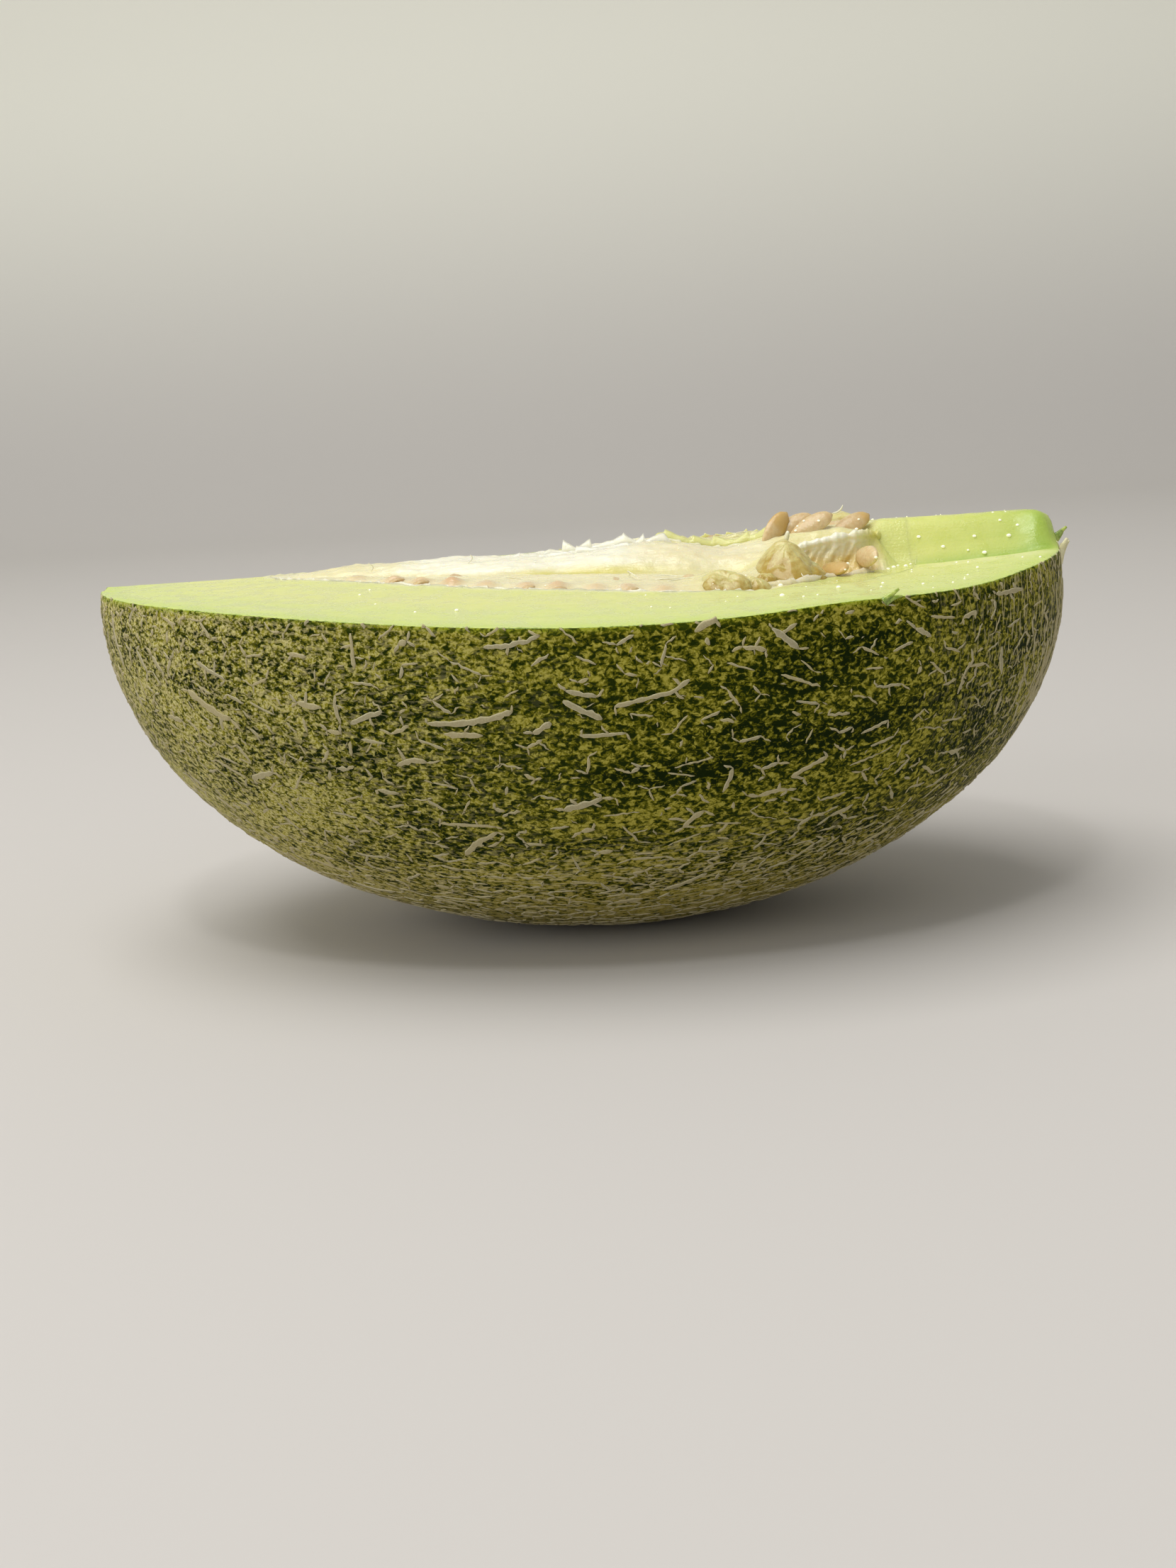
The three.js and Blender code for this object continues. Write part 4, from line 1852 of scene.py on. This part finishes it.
@dataclass
class Seeds:
    """Flat drop-shaped seeds, in rows inside the cavity's edge and loose on the stem end."""

    length: float = 10.5
    width: float = 4.8
    thickness: float = 2.2
    rings: int = 13
    around: int = 14
    loose: tuple[SeedPlace, ...] = (
        SeedPlace(42.9, -4.4, 3.7, 35, -43, 74, 0.5, 0.5),
        SeedPlace(50.7, -5, 4.2, 8, -24, 50, 0.3),
        SeedPlace(47.4, -2.4, 4.2, 12, -20, 58, 0.3),
        SeedPlace(59.5, -4, 3.9, 22, -20, 42, 0.5, 0.3),
        SeedPlace(61.1, -15, -2.1, -74, 0, 66, 0.3),
        SeedPlace(53.8, -19.4, -3.8, -70, 0, 30, 1, 0.8),
        SeedPlace(48, 7, 3.2, 70, 10, 20),
        SeedPlace(57, 9, 2.4, 140, 8, -20),
    )
    near_inset: float = 5.7
    near_lean: float = -14
    near_sink: float = 0.55
    rows: tuple[SeedRow, ...] = (
        SeedRow(1, 4.2, 7.2, -10, 0.9), SeedRow(1, 12.5, 8.8, 14, 1.3), SeedRow(-1, 12.5, 8.8, 14, 1.3),
    )
    row_reach: Pair = (-44, 50)
    edge_draws: int = 45
    row_draws: int = 41
    coat_draws: int = 43

    def at_near_edge(self) -> list[SeedPlace]:
        """Seeds whose blunt ends stand up at the cavity's near edge.

        Returns:
            Their places.
        """
        draw = np.random.default_rng(self.edge_draws)
        places = []
        for x, rise, blush in NEAR_ENDS:
            edge = -FORM.cavity_half_width(x)
            z = FORM.cut_height(x, edge) + rise - self.near_sink
            turn, roll = draw.uniform(-105, -75), draw.uniform(-22, 22)
            places.append(SeedPlace(x, edge + self.near_inset, z, turn, self.near_lean, roll, 0.7 * blush))
        return places

    def in_rows(self) -> list[SeedPlace]:
        """Set out the other rows of seeds.

        Returns:
            Their places.
        """
        draw = np.random.default_rng(self.row_draws)
        places = []
        for row in self.rows:
            x, stop = self.row_reach
            while x < stop:
                reach = FORM.cavity_half_width(x) - row.inset
                y = row.side * (reach + draw.uniform(-0.8, 0.8))
                crowded = any(math.hypot(x - lump.x, y - lump.y) < lump.spread * 0.8 for lump in FORM.jelly)
                turn = row.side * draw.uniform(65, 115)
                lean, roll = row.lean * draw.uniform(0.6, 1.2), draw.uniform(-25, 25)
                if reach > row.inset * 0.8 and not crowded:
                    z = FORM.pulp_form(x, y) - row.sink
                    places.append(SeedPlace(x, y, z, turn, lean, roll, draw.uniform(0.2, 0.9)))
                x += row.spacing * draw.uniform(0.85, 1.15)
        return places

    def shape(self) -> tuple[Array, Array, Array]:
        """One seed about its middle, its blunt end forward.

        Returns:
            Its rings, how near each point is to the seed's edge, and how far along it lies.
        """
        along = np.linspace(0.004, 0.996, self.rings)[:, None]
        aside, up = circle(self.around).T
        swell = np.sin(math.pi * (1 - (1 - along) ** 0.8)) ** 0.62
        y = aside * swell * self.width / 2
        z = np.sign(up) * np.abs(up) ** 1.25 * swell ** 0.8 * self.thickness / 2
        return together((along - 0.5) * self.length, y, z), np.abs(aside), along

    def build(self) -> Piece:
        """Make all the seeds.

        Returns:
            The piece.
        """
        rings, edge, along = self.shape()
        draw = np.random.default_rng(self.coat_draws)
        parts = MeshParts()
        for place in [*self.in_rows(), *self.at_near_edge(), *self.loose]:
            turned = Matrix.Rotation(math.radians(place.turn), 3, "Z")
            turned = turned @ Matrix.Rotation(math.radians(place.lean), 3, "Y")
            turned = turned @ Matrix.Rotation(math.radians(place.roll), 3, "X")
            seed = (rings * draw.uniform(0.92, 1.06, 3)) @ np.array(turned).T + place[:3]
            torn = smooth(1.02 - place.torn, 1.1 - place.torn, along)
            # edge carries the painted highlight along each seed's rim.
            looks = dict(tint=draw.random(), blush=place.blush, edge=edge, torn=torn)
            parts.add_stacks(seed[None], turned=True, **looks)
        return parts.build("seeds")


class Hue(NamedTuple):
    """Shares of the pulp's colours."""

    white: float = 0
    amber: float = 0
    yellow: float = 0
    pink: float = 0
    green: float = 0


class TornEdge(NamedTuple):
    """A ragged sheet that stands along a line of places."""

    route: tuple[Pair, ...] | Array
    rise: Pair
    tooth: float
    lean: float
    thick: float
    hue: Hue


@dataclass
class TornPulp:
    """Torn skins of pulp: white flaps on the crest, a cream edge round the cavity and a ragged far edge."""

    pulp: SeedPulp
    sheets: tuple[TornEdge, ...] = (
        TornEdge(((-8, 1), (4, 1.5), (12.5, 0.5), (20.6, 1.5)), (0.5, 3), 4.4, 0.5, 1, Hue(1)),
        TornEdge(((-16, -3), (-4, -2), (6, -3), (12, -5)), (0.1, 1.7), 5, 0.6, 1, Hue(1)),
        TornEdge(((6, 3.5), (14, 4.5), (24, 3), (36, 2)), (0.1, 0.9), 4.4, 0.5, 1, Hue(0.8, 0, 0.3)),
        TornEdge(
            ((16, 5), (25, 4), (34, 3.5), (43, 2)),
            (1, 2.4), 4.5, 0.3, 1.2, Hue(0.2, 0, 0.3, 0, 0.6),
        ),
        TornEdge(((4, 14), (24, 12), (44, 14)), (0.1, 1.2), 4, 0.6, 0.8, Hue(0.3, 0, 0.5)),
        TornEdge(
            ((37, -34.2), (43, -32.4), (48, -28.8), (51, -25.2), (55, -21.6), (59, -18.8), (62.5, -15)),
            (0.6, 1.5), 5, 0.6, 0.9, Hue(0.4, 0.15, 0, 0.2),
        ),
    )
    section: tuple[Pair, ...] = (
        (-0.5, -0.8), (0.5, -0.8), (0.4, 0.3), (0.2, 0.75), (0, 1), (-0.2, 0.8), (-0.4, 0.35),
    )
    spacing: float = 0.3
    noise: Unevenness = Unevenness(71)
    draw: Draw = field(default_factory=lambda: np.random.default_rng(73))

    def lip(self, side: float, reach: Pair, rise: Pair, tooth: float, hue: Hue) -> TornEdge:
        """A sheet along the cavity's edge.

        Args:
            side: -1 for the near edge, 1 for the far one.
            reach: Where it starts and ends along the fruit.
            rise: Least and most height.
            tooth: Spacing of its tears.
            hue: Its colour.

        Returns:
            The sheet.
        """
        x = np.linspace(*reach, 40)
        route = together(x, side * (FORM.cavity_half_width(x) - 0.1))
        return TornEdge(route, rise, tooth, -side * 0.25, 0.7, hue)

    def teeth(self, run: Array, tooth: float) -> Array:
        """Uneven saw teeth along a line.

        Args:
            run: Distances along it.
            tooth: Mean length of a tooth.

        Returns:
            Shares from 0 to 1.
        """
        gaps = tooth * self.draw.uniform(0.4, 1.6, int(run[-1] / tooth) * 3 + 4)
        marks = np.concatenate([[0], np.cumsum(gaps)])
        number = np.searchsorted(marks, run, side="right") - 1
        part = (run - marks[number]) / (marks[number + 1] - marks[number])
        falling = self.draw.random(len(marks)) < 0.3
        most = self.draw.uniform(0.35, 1, len(marks))[number]
        return most * np.where(falling[number], 1 - part, part) ** 1.3

    def stand(self, parts: MeshParts, edge: TornEdge) -> None:
        """Raise one sheet.

        Args:
            parts: The mesh that takes it.
            edge: The sheet.
        """
        corners = np.array(edge.route)
        length = float(np.sum(np.linalg.norm(np.diff(corners, axis=0), axis=1)))
        flat = resampled(corners, int(length / self.spacing))
        place = together(*flat.T, 0)
        flat[:, 1] += 0.7 * self.noise.layered(place, 5, 2) * min(edge.tooth / 4, 1)
        x, y = flat.T
        run = np.linspace(0, length, len(x))
        ends = smooth(0, 2, run) * smooth(length, length - 2, run)
        fine = 0.12 * self.noise.layered(place + 5, 0.9, 2)
        rise = (mix(*edge.rise, self.teeth(run, edge.tooth)) + fine) * ends
        inside = np.abs(y) < FORM.cavity_half_width(x) - 0.5
        ground = np.where(inside, self.pulp.height(x, y), FORM.cut_height(x, y) - 0.1)
        wide, up = np.array(self.section).T
        lifted = np.where(up > 0, up * rise[:, None], up * 0.7)
        across = wide * edge.thick - edge.lean * np.maximum(up, 0) ** 1.4 * rise[:, None]
        way_x, way_y = unit(np.gradient(flat, axis=0)).T[:, :, None]
        rings = together(x[:, None] + way_y * across, y[:, None] - way_x * across, ground[:, None] + lifted)
        parts.add_stacks(rings[None], **edge.hue._asdict())

    def build(self) -> Piece:
        """Make all the sheets.

        Returns:
            The piece.
        """
        near = self.lip(-1, (-68, 36), (0.3, 0.9), 3, Hue(0.6, 0, 0.05))
        far = self.lip(1, (-60, 18), (0.2, 0.9), 3, Hue(0.5, 0, 0.2))
        far_green = self.lip(1, (14, 48), (0.3, 1.5), 2.4, Hue(0, 0, 0.3, 0, 0.6))
        parts = MeshParts()
        for edge in (*self.sheets, near, far, far_green):
            self.stand(parts, edge)
        return parts.build("pulp_flaps")


@dataclass
class Curtain:
    """A white ridge of pulp before the loose seeds, with a pleated amber skin that hangs from it."""

    pulp: SeedPulp
    ridge: tuple[Place, ...] = (
        (43.5, -13.8, -0.9), (47.5, -12.4, 0.4), (53, -11.8, 1.4), (60.4, -10.2, 2.2), (64.5, -5.6, 1.5),
        (69.5, 1.2, -1.4),
    )
    radius: float = 1
    hollow: float = 0.2
    foot_ahead: float = 3.6
    pleat: float = 1.5
    back: float = 3.4
    back_drop: float = 2.4
    columns: int = 120
    rows: int = 18
    cap_points: int = 9
    rounding: int = 40
    merge: Pair = (61, 66)
    noise: Unevenness = Unevenness(91)

    def build(self) -> Piece:
        """Make the ridge and its skin.

        Returns:
            The piece.
        """
        line = resampled(np.array(self.ridge), self.columns)
        for _ in range(self.rounding):
            line[1:-1] = line[1:-1] / 2 + (line[:-2] + line[2:]) / 4
        x, y, z = line.T[:, :, None]
        lumpy = 1 + 1.3 * self.noise.layered(line, 2.1, 3)[:, None]
        radius = self.radius * lumpy * blunt(self.columns, 0.3)[:, None]
        turn = np.linspace(0.3, 1.25, self.cap_points) * math.pi
        cap_y, cap_z = y + radius * np.cos(turn), z + radius * np.sin(turn)
        down = np.linspace(0, 1, self.rows + 1)[1:]
        ahead = self.foot_ahead * (1 + 1.8 * smooth(60.5, 67, x))
        foot_z = self.pulp.height(x, cap_y[:, -1:] - ahead) - 0.4
        skin_z = mix(cap_z[:, -1:], foot_z, down)
        folds = together(x - 0.6 * skin_z, skin_z / 4, 0)
        pleats = self.pleat * self.noise.layered(folds, 1.7, 3, 0.6) * np.sin(np.pi * down) ** 0.5
        swing = (0.3 + 0.7 * smooth(66, 59, x)) * (self.hollow * np.sin(np.pi * down ** 0.8) + pleats)
        merging = smooth(*self.merge, x)
        skin_y = cap_y[:, -1:] + swing - ahead * down ** mix(2, 1, merging)
        back_y = y + self.back
        ring_y = np.concatenate([cap_y, skin_y, back_y, back_y], axis=1)
        ring_z = np.concatenate([cap_z, skin_z, foot_z, z - self.back_drop], axis=1)
        share = np.concatenate([np.zeros(self.cap_points), down, [1, 0]])
        return MeshParts().add_stacks(
            together(x, ring_y, ring_z)[None],
            white=smooth(0.2, 0, share) * smooth(66, 61, x),
            amber=smooth(0.05, 0.6, share) * mix(0.9, 0.3, merging),
            yellow=smooth(58, 65, x) * smooth(1.2, 0, share),
            pink=0,
            green=smooth(64, 67.5, x),
        ).build("pulp_curtain")


class JellyCap(NamedTuple):
    """A drop of jelly: its middle, its reach both ways, its swell, its share of amber and its folds."""

    x: float
    y: float
    along: float
    across: float
    dome: float
    deep: float
    folds: float = 0


@dataclass
class Jelly:
    """Wet amber jelly over the lumps of the pulp."""

    pulp: SeedPulp
    caps: tuple[JellyCap, ...] = (
        JellyCap(43.8, -21.5, 7, 8.6, 2.6, 0.5, 0.45),
        JellyCap(48, -22.6, 4.4, 5.4, 1.6, 0.62, 0.5),
        JellyCap(38.6, -28.6, 2.4, 2.4, 1.2, 0.55, 0.4),
        JellyCap(29.6, -32.6, 5.4, 3.2, 0.5, 0, 0.3),
        JellyCap(30.2, -35.2, 5.4, 3.2, 2.7, 0.46, 0.25),
        JellyCap(36, -34.2, 3.4, 2.6, 1.4, 0.35, 0.3),
        JellyCap(60, 15, 5, 6, 0.3, 0.3),
    )
    rings: int = 14
    around: int = 72
    noise: Unevenness = Unevenness(81)

    def build(self) -> Piece:
        """Make the caps.

        Returns:
            The piece.
        """
        parts = MeshParts()
        share = np.linspace(1, 0.03, self.rings)[:, None]
        ahead, aside = circle(self.around).T
        for cap in self.caps:
            x, y = cap.x + cap.along * share * ahead, cap.y + cap.across * share * aside
            lumps = 0.35 * self.noise.layered(together(x, y, 0), 2.4, 3) * (1 - share)
            folds = self.noise.layered(together(ahead, aside, 0.5 * share), 0.5, 2) * np.sin(np.pi * share)
            swell = cap.dome * (1 - share ** 2) ** 0.6 + lumps + cap.folds * folds
            z = self.pulp.height(x, y) - 0.5 * share ** 4 + swell
            # Amber share: each cap's own amber, raised towards its foot as painted shade and raised on its
            # near side.
            amber = np.clip(cap.deep + 0.3 * (share - 0.6) - 0.33 * share * aside, 0, 1)
            parts.add_stacks(together(x, y, z)[None], turned=True, deep=amber)
        return parts.build("jelly")


class Strand(NamedTuple):
    """A thread through three places, with its radius and how flat it is."""

    start: Place
    bend: Place
    end: Place
    radius: float
    flat: float = 1


def tubes(strands: list[Strand], profile: Array, corners: int, up: Place) -> Array:
    """Sweep a round section along strands that curve through their bends.

    Args:
        strands: The strands.
        profile: Share of the radius at each point along them.
        corners: Points round the section.
        up: The way in which it is flattened.

    Returns:
        Rings of shape (strands, points, corners, 3).
    """
    ends = np.array([strand[:3] for strand in strands])
    radius, flat = np.array([strand[3:] for strand in strands]).T[:, :, None]
    part = np.linspace(0, 1, len(profile))[:, None]
    pulled = 2 * ends[:, 1:2] - (ends[:, 0:1] + ends[:, 2:3]) / 2
    paths = (1 - part) ** 2 * ends[:, 0:1] + 2 * part * (1 - part) * pulled + part ** 2 * ends[:, 2:3]
    wide = radius * profile
    return swept(paths, wide, wide * flat, circle(corners), np.array(up))


@dataclass
class Threads:
    """Pale threads of pulp over the seeds and the jelly, and the tuft on the jelly mound."""

    pulp: SeedPulp
    loose: int = 44
    points: int = 14
    mound: Pair = (43.4, -21.5)
    tuft: Pair = (45.6, -19.6)
    strands: tuple[Strand, ...] = (
        Strand((43.6, -18.6, 1.8), (44.1, -18.9, 3.4), (44.3, -19.2, 4.6), 0.6, 0.8),
        Strand((55.6, -5, 6.6), (57, -5, 7), (57.8, -5, 8.2), 0.22),
        Strand((-45, -8, 0.6), (-44.6, -8, 1.6), (-45.6, -8, 2.4), 0.12),
        Strand((-24, -8, 1), (-23, -8, 2), (-23.4, -8, 2.8), 0.12),
    )
    hue: Hue = Hue(0.95, 0, 0.08)
    draw: Draw = field(default_factory=lambda: np.random.default_rng(51))

    def over(self, start: Pair, end: Pair, bow: float, lift: float, radius: float) -> Strand:
        """A thread that lies over the pulp between two places.

        Args:
            start: Where it starts.
            end: Where it ends.
            bow: How far its middle swings aside, against its length.
            lift: How far its middle stands above the pulp.
            radius: Its radius.

        Returns:
            The strand.
        """
        (x0, y0), (x1, y1) = start, end
        middle = ((x0 + x1) / 2 - (y1 - y0) * bow, (y0 + y1) / 2 + (x1 - x0) * bow)
        lifts = ((start, -0.2), (middle, lift), (end, -0.2))
        return Strand(*((x, y, self.pulp.spot(x, y) + more) for (x, y), more in lifts), radius)

    def draped(self) -> list[Strand]:
        """Threads fanned over the jelly mound.

        Returns:
            The threads.
        """
        made, draw = [], self.draw
        for turn in np.linspace(-1.1, -0.3, 3):
            reach = draw.uniform(7, 8.4)
            foot = (self.mound[0] + reach * math.cos(turn), self.mound[1] + reach * math.sin(turn) * 1.2)
            top = (self.tuft[0] + draw.normal(0, 0.8), self.tuft[1] + draw.normal(0, 0.5))
            made.append(self.over(top, foot, draw.uniform(-0.2, 0.2), 1.2, draw.uniform(0.08, 0.14)))
        return made

    def scattered(self) -> list[Strand]:
        """Threads strewn over the whole pulp, some of them standing up.

        Returns:
            The threads.
        """
        start, stop = FORM.cavity_ends()
        made, draw = [], self.draw
        for _ in range(self.loose):
            x = draw.uniform(start + 14, stop - 6)
            y = draw.choice((-1, 1)) * draw.uniform(0.46, 0.88) * FORM.cavity_half_width(x)
            if draw.random() < 0.5 * smooth(30, -10, x):
                continue
            heading = draw.normal(0, 0.45) if draw.random() < 0.65 else draw.uniform(-1.6, 1.6)
            length = draw.uniform(3, 12)
            end = (x + length * math.cos(heading), y + length * math.sin(heading) * 0.8)
            if end[0] < stop - 4 and abs(end[1]) < FORM.cavity_half_width(end[0]) - 1:
                lift = draw.uniform(0.05, 0.3) + (draw.random() < 0.1) * draw.uniform(0.4, 1.2)
                made.append(self.over((x, y), end, draw.uniform(-0.25, 0.25), lift, draw.uniform(0.06, 0.12)))
        return made

    def build(self) -> Piece:
        """Make all the threads.

        Returns:
            The piece.
        """
        strands = [*self.strands, *self.draped(), *self.scattered()]
        rings = tubes(strands, blunt(self.points, 0.4), 6, (0.05, -0.3, 1))
        return MeshParts().add_stacks(rings, **self.hue._asdict()).build("pulp_threads")


@dataclass
class TornRind:
    """Bits of rind and flesh torn by the knife: a curl on the near rim and the ragged stem tip."""

    points: int = 12
    green: tuple[Strand, ...] = (
        Strand((58.4, -57.6, -6.6), (60, -57.2, -5.4), (61.6, -56.9, -4.4), 0.8, 0.5),
        Strand((58.8, -57.5, -6.9), (60.4, -57.1, -6.1), (62.2, -56.7, -5.8), 0.7, 0.5),
        Strand((101.6, -4, -4), (104.2, -3.4, -1.8), (105.6, -3, -0.6), 1.5, 0.45),
        Strand((103.2, -3.2, -2.6), (105, -3, -1), (106.6, -3, 0.3), 0.9, 0.5),
        Strand((-104.4, -0.6, -2.6), (-104.9, -0.5, -1.8), (-105, -0.4, -1), 0.5, 0.6),
    )
    pale: tuple[Strand, ...] = (
        Strand((103.8, -5.6, -6.2), (105, -5.4, -4), (106.2, -5.2, -2), 1.1, 0.5),
        Strand((104.4, -5, -7.4), (105.4, -4.8, -4.6), (106.7, -4.6, -2.6), 0.8, 0.6),
        Strand((103, -6.6, -5.2), (103.8, -6.4, -3.6), (103.6, -6.2, -2.4), 0.5, 0.6),
        Strand((104.2, -4, -12), (104.8, -4.4, -7), (104.9, -4.6, -3), 0.35),
        Strand((103.6, -6, -11), (104.2, -5.8, -7), (104.5, -5.4, -3.4), 0.28),
    )
    hue: Hue = Hue(0.5, 0.05, 0.35)

    def blades(self, strands: tuple[Strand, ...]) -> Array:
        """Flat blades that taper along their middle lines."""
        return tubes(strands, np.linspace(1, 0.3, self.points), 8, (0, -1, 0.1))

    def build(self) -> tuple[Piece, Piece]:
        """Make the green and the pale pieces.

        Returns:
            Both pieces.
        """
        green = MeshParts().add_stacks(self.blades(self.green), depth=0.2, lip=0, step=0, foot=0.3)
        pale = MeshParts().add_stacks(self.blades(self.pale), **self.hue._asdict())
        return green.build("torn_rind"), pale.build("torn_fibres")


@dataclass
class Beads:
    """Beads of juice on the cut, on the jelly and on the seeds, painted near white and glowing as painted
    glints.
    """

    pulp: SeedPulp
    seeds: Piece
    on_flesh: tuple[Pair, ...] = (
        (70, -11.5), (79, -6.5), (86, -5.5), (97, -6.2), (66, -13), (92, -3.5), (95.6, -4.4),
        (68.6, -9.8), (67.4, -11.6), (71.4, -9.4), (84.2, -7.4), (87.6, -8.2), (93.4, -5.8), (41, -33.6),
        (74, -5), (61.5, -36), (40, -47), (-24, -52), (52, -40), (69, -40), (83, -24),
    )
    on_seeds: tuple[Place, ...] = (
        (46.9, -6.6, 5.9), (45.9, -7.2, 4.6), (48.6, -6.2, 6), (52.4, -6.4, 6.2), (61.4, -6, 5.6),
        (61.4, -8, 3.6), (58.4, -20.6, -0.6), (61.8, -21, -1), (55, -26, -2.2),
    )
    scattered: int = 64
    spray_along: Pair = (-70, 102)
    spray_across: Pair = (-55, 12)
    rings: int = 6
    around: int = 12
    draw: Draw = field(default_factory=lambda: np.random.default_rng(61))

    def bead(self, parts: MeshParts, place: Array, radius: float) -> None:
        """Add one flattened bead.

        Args:
            parts: The mesh that takes it.
            place: Its middle.
            radius: Its radius.
        """
        lift = np.linspace(-0.95, 0.95, self.rings)[:, None] * math.pi / 2
        ahead, aside = circle(self.around).T
        ball = together(np.cos(lift) * ahead, np.cos(lift) * aside, np.sin(lift) * 0.7)
        parts.add_stacks((ball * radius + place)[None], turned=True, deep=0)

    def spots(self) -> list[Place]:
        """Choose where beads lie on the cut.

        Returns:
            The place along and across, and the radius, of each.
        """
        draw = self.draw
        made = [(x, y, draw.uniform(0.3, 0.55)) for x, y in self.on_flesh]
        while len(made) < len(self.on_flesh) + self.scattered:
            x, y = draw.uniform(*self.spray_along), draw.uniform(*self.spray_across)
            near = draw.random() < mix(0.15, 1, smooth(-20, 60, x))
            if near and abs(y) < FORM.rim_half_width(x) - 3:
                made.append((x, y, draw.uniform(0.1, 0.3)))
        return made

    def build(self) -> Piece:
        """Make the beads.

        Returns:
            The piece.
        """
        parts = MeshParts()
        coats = np.array([corner.co for corner in self.seeds.data.vertices]) / MILLIMETRE - FORM.place
        for place in self.on_seeds:
            nearest = np.argmin(np.linalg.norm(coats - place, axis=1))
            self.bead(parts, coats[nearest], self.draw.uniform(0.22, 0.4))
        start, stop = FORM.cavity_ends()
        for x, y, radius in self.spots():
            inside = start < x < stop and abs(y) < FORM.cavity_half_width(x)
            level = self.pulp.spot(x, y) if inside else FORM.cut_height(x, y)
            self.bead(parts, np.array([x, y, level + 0.1]), radius)
        return parts.build("juice_beads")


class Lamp(NamedTuple):
    """A soft square light: its place and its side in metres, its power in watts, and its tint."""

    name: str
    place: Place
    size: float
    power: float
    tint: Colour


@dataclass
class Studio:
    """Floor, backdrop, soft lights and the camera at the photograph's angle."""

    camera_place: Place = (4.2, -438, 42.5)
    heading: float = math.radians(0.71)
    look_down: float = math.radians(12.06)
    roll: float = math.radians(3.68)
    focal_pixels: float = 2800
    picture_height: float = 2212
    sensor: float = 36
    clip: Pair = (0.01, 20)
    bend_radius: float = 0.55
    bend_points: int = 25
    paper_front: float = -3
    paper_back: float = 1.1
    paper_top: float = 2.6
    paper_half: float = 3.2
    aim: Place = (0, 0, 0.06)
    lamps: tuple[Lamp, ...] = (
        Lamp("ceiling", (-0.35, -0.15, 1.5), 1.1, 15, (1, 0.99, 0.96)),
        Lamp("window", (-1.5, -0.9, 0.7), 1, 7, (1, 0.99, 0.97)),
        Lamp("spark", (-0.12, -0.5, 0.95), 0.1, 1.1, (1, 1, 1)),
    )
    room_tint: Colour = (0.93, 0.93, 0.92)
    room_glow: float = 0.42

    def camera(self) -> None:
        """Set up the camera."""
        data = bpy.data.cameras.new("photo_view")
        data.sensor_width = self.sensor
        data.lens = self.focal_pixels / self.picture_height * self.sensor
        data.clip_start, data.clip_end = self.clip
        camera = bpy.data.objects.new("photo_view", data)
        turned = Matrix.Rotation(self.heading, 4, "Z")
        turned = turned @ Matrix.Rotation(math.pi / 2 - self.look_down, 4, "X")
        turned = turned @ Matrix.Rotation(-self.roll, 4, "Z")
        camera.matrix_world = Matrix.Translation(Vector(FORM.in_frame(np.array(self.camera_place)))) @ turned
        bpy.context.collection.objects.link(camera)
        bpy.context.scene.camera = camera

    def backdrop(self) -> None:
        """Sweep a sheet of paper from the floor up behind."""
        radius, back = self.bend_radius, self.paper_back
        turn = np.linspace(-math.pi / 2, 0, self.bend_points)
        curve = [(back + radius * math.cos(a), radius + radius * math.sin(a)) for a in turn]
        profile = [(self.paper_front, 0), *curve, (back + radius, self.paper_top)]
        points = [(side, y, z) for y, z in profile for side in (-self.paper_half, self.paper_half)]
        faces = [(2 * i, 2 * i + 1, 2 * i + 3, 2 * i + 2) for i in range(len(profile) - 1)]
        mesh = bpy.data.meshes.new("studio_paper")
        mesh.from_pydata(points, [], faces)
        mesh.polygons.foreach_set("use_smooth", np.ones(len(faces), dtype=bool))
        paper = bpy.data.objects.new("studio_paper", mesh)
        bpy.context.collection.objects.link(paper)
        paper.data.materials.append(PaperFinish().material())

    def lights(self) -> None:
        """Hang the lights, which face the melon, and set the room's own glow."""
        for lamp in self.lamps:
            data = bpy.data.lights.new(lamp.name, "AREA")
            data.size, data.energy, data.color = lamp.size, lamp.power, lamp.tint
            light = bpy.data.objects.new(lamp.name, data)
            light.location = lamp.place
            light.rotation_mode = "QUATERNION"
            light.rotation_quaternion = (Vector(lamp.place) - Vector(self.aim)).to_track_quat("Z", "Y")
            bpy.context.collection.objects.link(light)
        world = bpy.data.worlds.new("room")
        world.use_nodes = True
        Shader(world.node_tree).feed(
            world.node_tree.nodes["Background"], Color=(*self.room_tint, 1), Strength=self.room_glow
        )
        bpy.context.scene.world = world
        bpy.context.scene.view_settings.view_transform = "Standard"

    def build(self) -> None:
        """Set up everything round the melon."""
        self.camera()
        self.backdrop()
        self.lights()


def main() -> None:
    """Build the melon half and its studio."""
    logging.basicConfig(level=logging.INFO, format="%(name)s %(message)s")
    Studio().build()
    flesh, thick_pulp, thin_pulp = FLESH.material(), PULP.material(), THIN_PULP.material()
    body = MelonBody()
    hand_over(body.build(), "flesh", [SkinFinish().material(), flesh], "flesh")
    Netting(body).dress()
    pulp = SeedPulp(body)
    hand_over(pulp.build(), "pulp", [thick_pulp], "seed_pulp")
    seeds = Seeds().build()
    hand_over(seeds, "seeds", [SEED_COAT.material()])
    hand_over(TornPulp(pulp).build(), "pulp", [thick_pulp])
    hand_over(Curtain(pulp).build(), "pulp", [thick_pulp])
    hand_over(Jelly(pulp).build(), "jelly", [JELLY.material()])
    hand_over(Threads(pulp).build(), "pulp", [thin_pulp])
    torn_rind, torn_fibres = TornRind().build()
    hand_over(torn_rind, "rind", [flesh])
    hand_over(torn_fibres, "pulp", [thin_pulp])
    hand_over(Beads(pulp, seeds).build(), "juice", [JUICE_GLINTS.material()])


if __name__ == "__main__":
    main()
